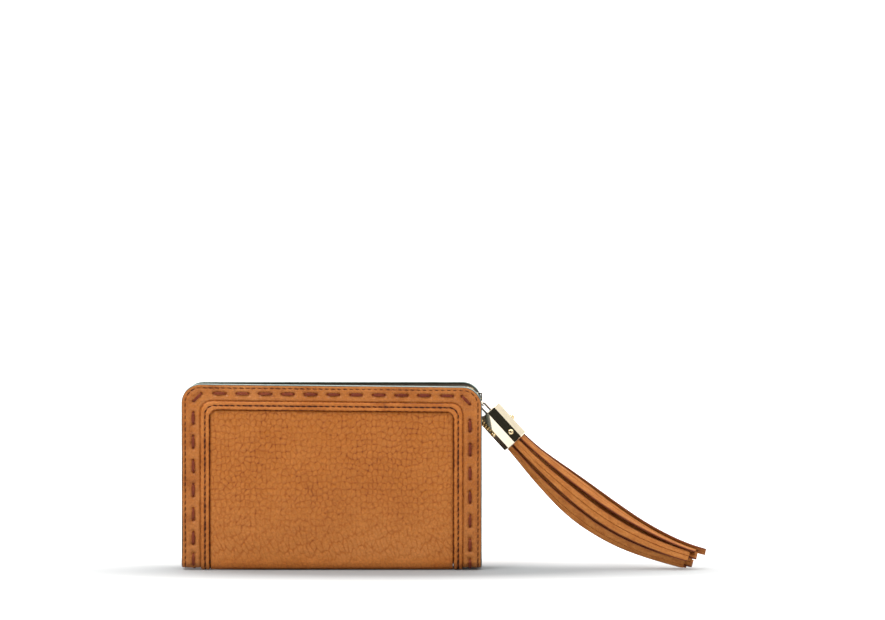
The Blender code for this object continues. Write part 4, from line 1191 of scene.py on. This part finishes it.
for side in (-1, 1):
    heap = Heap()
    inward = (0, -side, 0)
    for y, top in ((8.08, 66.0), (7.28, 52.0)):
        lz = lambda x, z: lean(x, z, side)
        for off in (1.3, 2.6):
            seam_run(heap, (-55.5, side * y, lz(-55.5, top - off)), (55.5, side * y, lz(55.5, top - off)), inward)
    for x in (-55.6, 55.6, 0.0):
        seam_run(heap, (x, side * 7.28, 7.0), (x, side * 7.28, lean(x, 48.5, side)), inward)
    ob = give(heap.build("slot_stitch_" + TAG[side]), M_THREAD_IN)
    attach(ob, BODY[side])
heap = Heap()
for side in (-1, 1):
    y = side * 2.82
    seam_run(heap, (-54.6, y, 68.4), (54.6, y, 68.4), (0, side, 0))
    seam_run(heap, (-54.6, y, 8.0), (54.6, y, 8.0), (0, side, 0))
    for x in (-54.6, 54.6):
        seam_run(heap, (x, y, 9.0), (x, y, 67.6), (0, side, 0))
ob = give(heap.build("coin_stitch"), M_THREAD_IN)
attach(ob, "divider")

# ------------------------------------------------------------------ stage, light, camera
def backdrop():
    v, f = [], []
    prof = [(-0.42, 0.0), (1.1, 0.0)] + [(1.1 + 0.7 * math.sin(a), 0.7 - 0.7 * math.cos(a)) for a in np.linspace(0.1, 0.5 * math.pi, 14)] + [(1.8, 2.6)]
    for y, z in prof:
        v += [(-3.0, y, z), (3.0, y, z)]
    for k in range(len(prof) - 1):
        f.append((2 * k, 2 * k + 1, 2 * k + 3, 2 * k + 2))
    mesh = bpy.data.meshes.new("floor")
    mesh.from_pydata(v, [], f)
    mesh.shade_smooth()
    o = bpy.data.objects.new("floor", mesh)
    bpy.context.scene.collection.objects.link(o)
    m, nt, b = new_material("floor_white_painted_shadow")
    b.inputs["Roughness"].default_value = 0.95
    b.inputs["Specular IOR Level"].default_value = 0.1
    # Painted contact shadow: emission and albedo both fall off near the wallet, in an ellipse centred a little in front
    # of it; far off the floor glows evenly white.
    at = coords(nt, (0.30, 1.0, 1.0))
    off = node(nt, "ShaderNodeVectorMath", operation="SUBTRACT")
    off.inputs[1].default_value = (0.010, -0.015, 0.0)
    nt.links.new(at, off.inputs[0])
    far_off = node(nt, "ShaderNodeVectorMath", operation="LENGTH")
    nt.links.new(off.outputs[0], far_off.inputs[0])
    painted_shadow_emission = ramp(nt, math_node(nt, "MULTIPLY", far_off.outputs["Value"], 1.0), [(0.022, (0.02,)), (0.042, (0.26,)), (0.068, (0.62,)), (0.11, (1.0,))])
    painted_shadow_albedo = ramp(nt, far_off.outputs["Value"], [(0.02, (0.325, 0.34, 0.355)), (0.045, (0.41, 0.42, 0.43)), (0.08, (0.50, 0.50, 0.50))])
    nt.links.new(painted_shadow_albedo, b.inputs["Base Color"])
    b.inputs["Emission Color"].default_value = (1, 1, 1, 1)
    nt.links.new(painted_shadow_emission, b.inputs["Emission Strength"])
    o.data.materials.append(m)


backdrop()


def surround():
    v, f = [], []
    rows, cols = 10, 32
    for k in range(rows + 1):
        a = 0.5 * math.pi * k / rows
        for j in range(cols):
            g = 2 * math.pi * j / cols
            v.append((5.0 * math.cos(a) * math.cos(g), 5.0 * math.cos(a) * math.sin(g), 5.0 * math.sin(a) - 0.004))
    for k in range(rows):
        for j in range(cols):
            q = (j + 1) % cols
            f.append((k * cols + j, k * cols + q, (k + 1) * cols + q, (k + 1) * cols + j))
    f.append(tuple(range(cols)))
    mesh = bpy.data.meshes.new("surround")
    mesh.from_pydata(v, [], f)
    o = bpy.data.objects.new("surround", mesh)
    bpy.context.scene.collection.objects.link(o)
    m, nt, b = new_material("surround_white")
    b.inputs["Base Color"].default_value = (0, 0, 0, 1)
    b.inputs["Roughness"].default_value = 1.0
    b.inputs["Specular IOR Level"].default_value = 0.0
    b.inputs["Emission Color"].default_value = (1, 1, 1, 1)
    b.inputs["Emission Strength"].default_value = 1.0
    o.data.materials.append(m)
    o.visible_diffuse = False
    o.visible_glossy = False
    o.visible_shadow = False
    o.visible_transmission = False


surround()


def area(name, at, to, size, power, size_y=None):
    d = bpy.data.lights.new(name, "AREA")
    d.energy = power
    d.size = size
    if size_y:
        d.shape = "RECTANGLE"
        d.size_y = size_y
    o = bpy.data.objects.new(name, d)
    o.location = at
    o.rotation_euler = (Vector(to) - Vector(at)).to_track_quat("-Z", "Y").to_euler()
    bpy.context.scene.collection.objects.link(o)


area("key", (-0.75, -0.95, 1.20), (0.02, 0, 0.04), 0.75, 12.5)
area("fill", (0.95, -0.85, 0.75), (0.05, 0, 0.03), 0.8, 3.6)
area("top", (0.05, 0.25, 1.5), (0.05, 0, 0), 1.2, 13.2)

world = bpy.data.worlds.new("studio")
bpy.context.scene.world = world
world.use_nodes = True
wn = world.node_tree
bg = wn.nodes["Background"]
tc = wn.nodes.new("ShaderNodeTexCoord")
sep = wn.nodes.new("ShaderNodeSeparateXYZ")
wn.links.new(tc.outputs["Generated"], sep.inputs[0])
rmp = wn.nodes.new("ShaderNodeValToRGB")
for e, (p, c) in zip(rmp.color_ramp.elements, ((0.0, 0.015), (0.56, 1.0))):
    e.position = p
    e.color = (c, c * 0.965, c * 0.90, 1)
mid = rmp.color_ramp.elements.new(0.38)
mid.color = (0.035, 0.035, 0.028, 1)
wn.links.new(sep.outputs[2], rmp.inputs[0])
wn.links.new(rmp.outputs[0], bg.inputs["Color"])
bg.inputs["Strength"].default_value = 1.0

cam = bpy.data.cameras.new("camera")
camera = bpy.data.objects.new("camera", cam)
bpy.context.scene.collection.objects.link(camera)
bpy.context.scene.camera = camera
ELEV, DIST = math.radians(1.3), 1.80
AIM = Vector((0.0516, -0.012, 0.1212))
camera.location = AIM + Vector((0.0, -DIST * math.cos(ELEV), DIST * math.sin(ELEV)))
camera.rotation_euler = (AIM - camera.location).to_track_quat("-Z", "Y").to_euler()
cam.sensor_width = 36.0
cam.lens = 36.0 * DIST / 0.4115
cam.clip_start = 0.01
cam.clip_end = 20.0

bpy.context.scene.view_settings.view_transform = "Standard"
bpy.context.scene.view_settings.look = "None"
bpy.context.scene.view_settings.exposure = 0.0
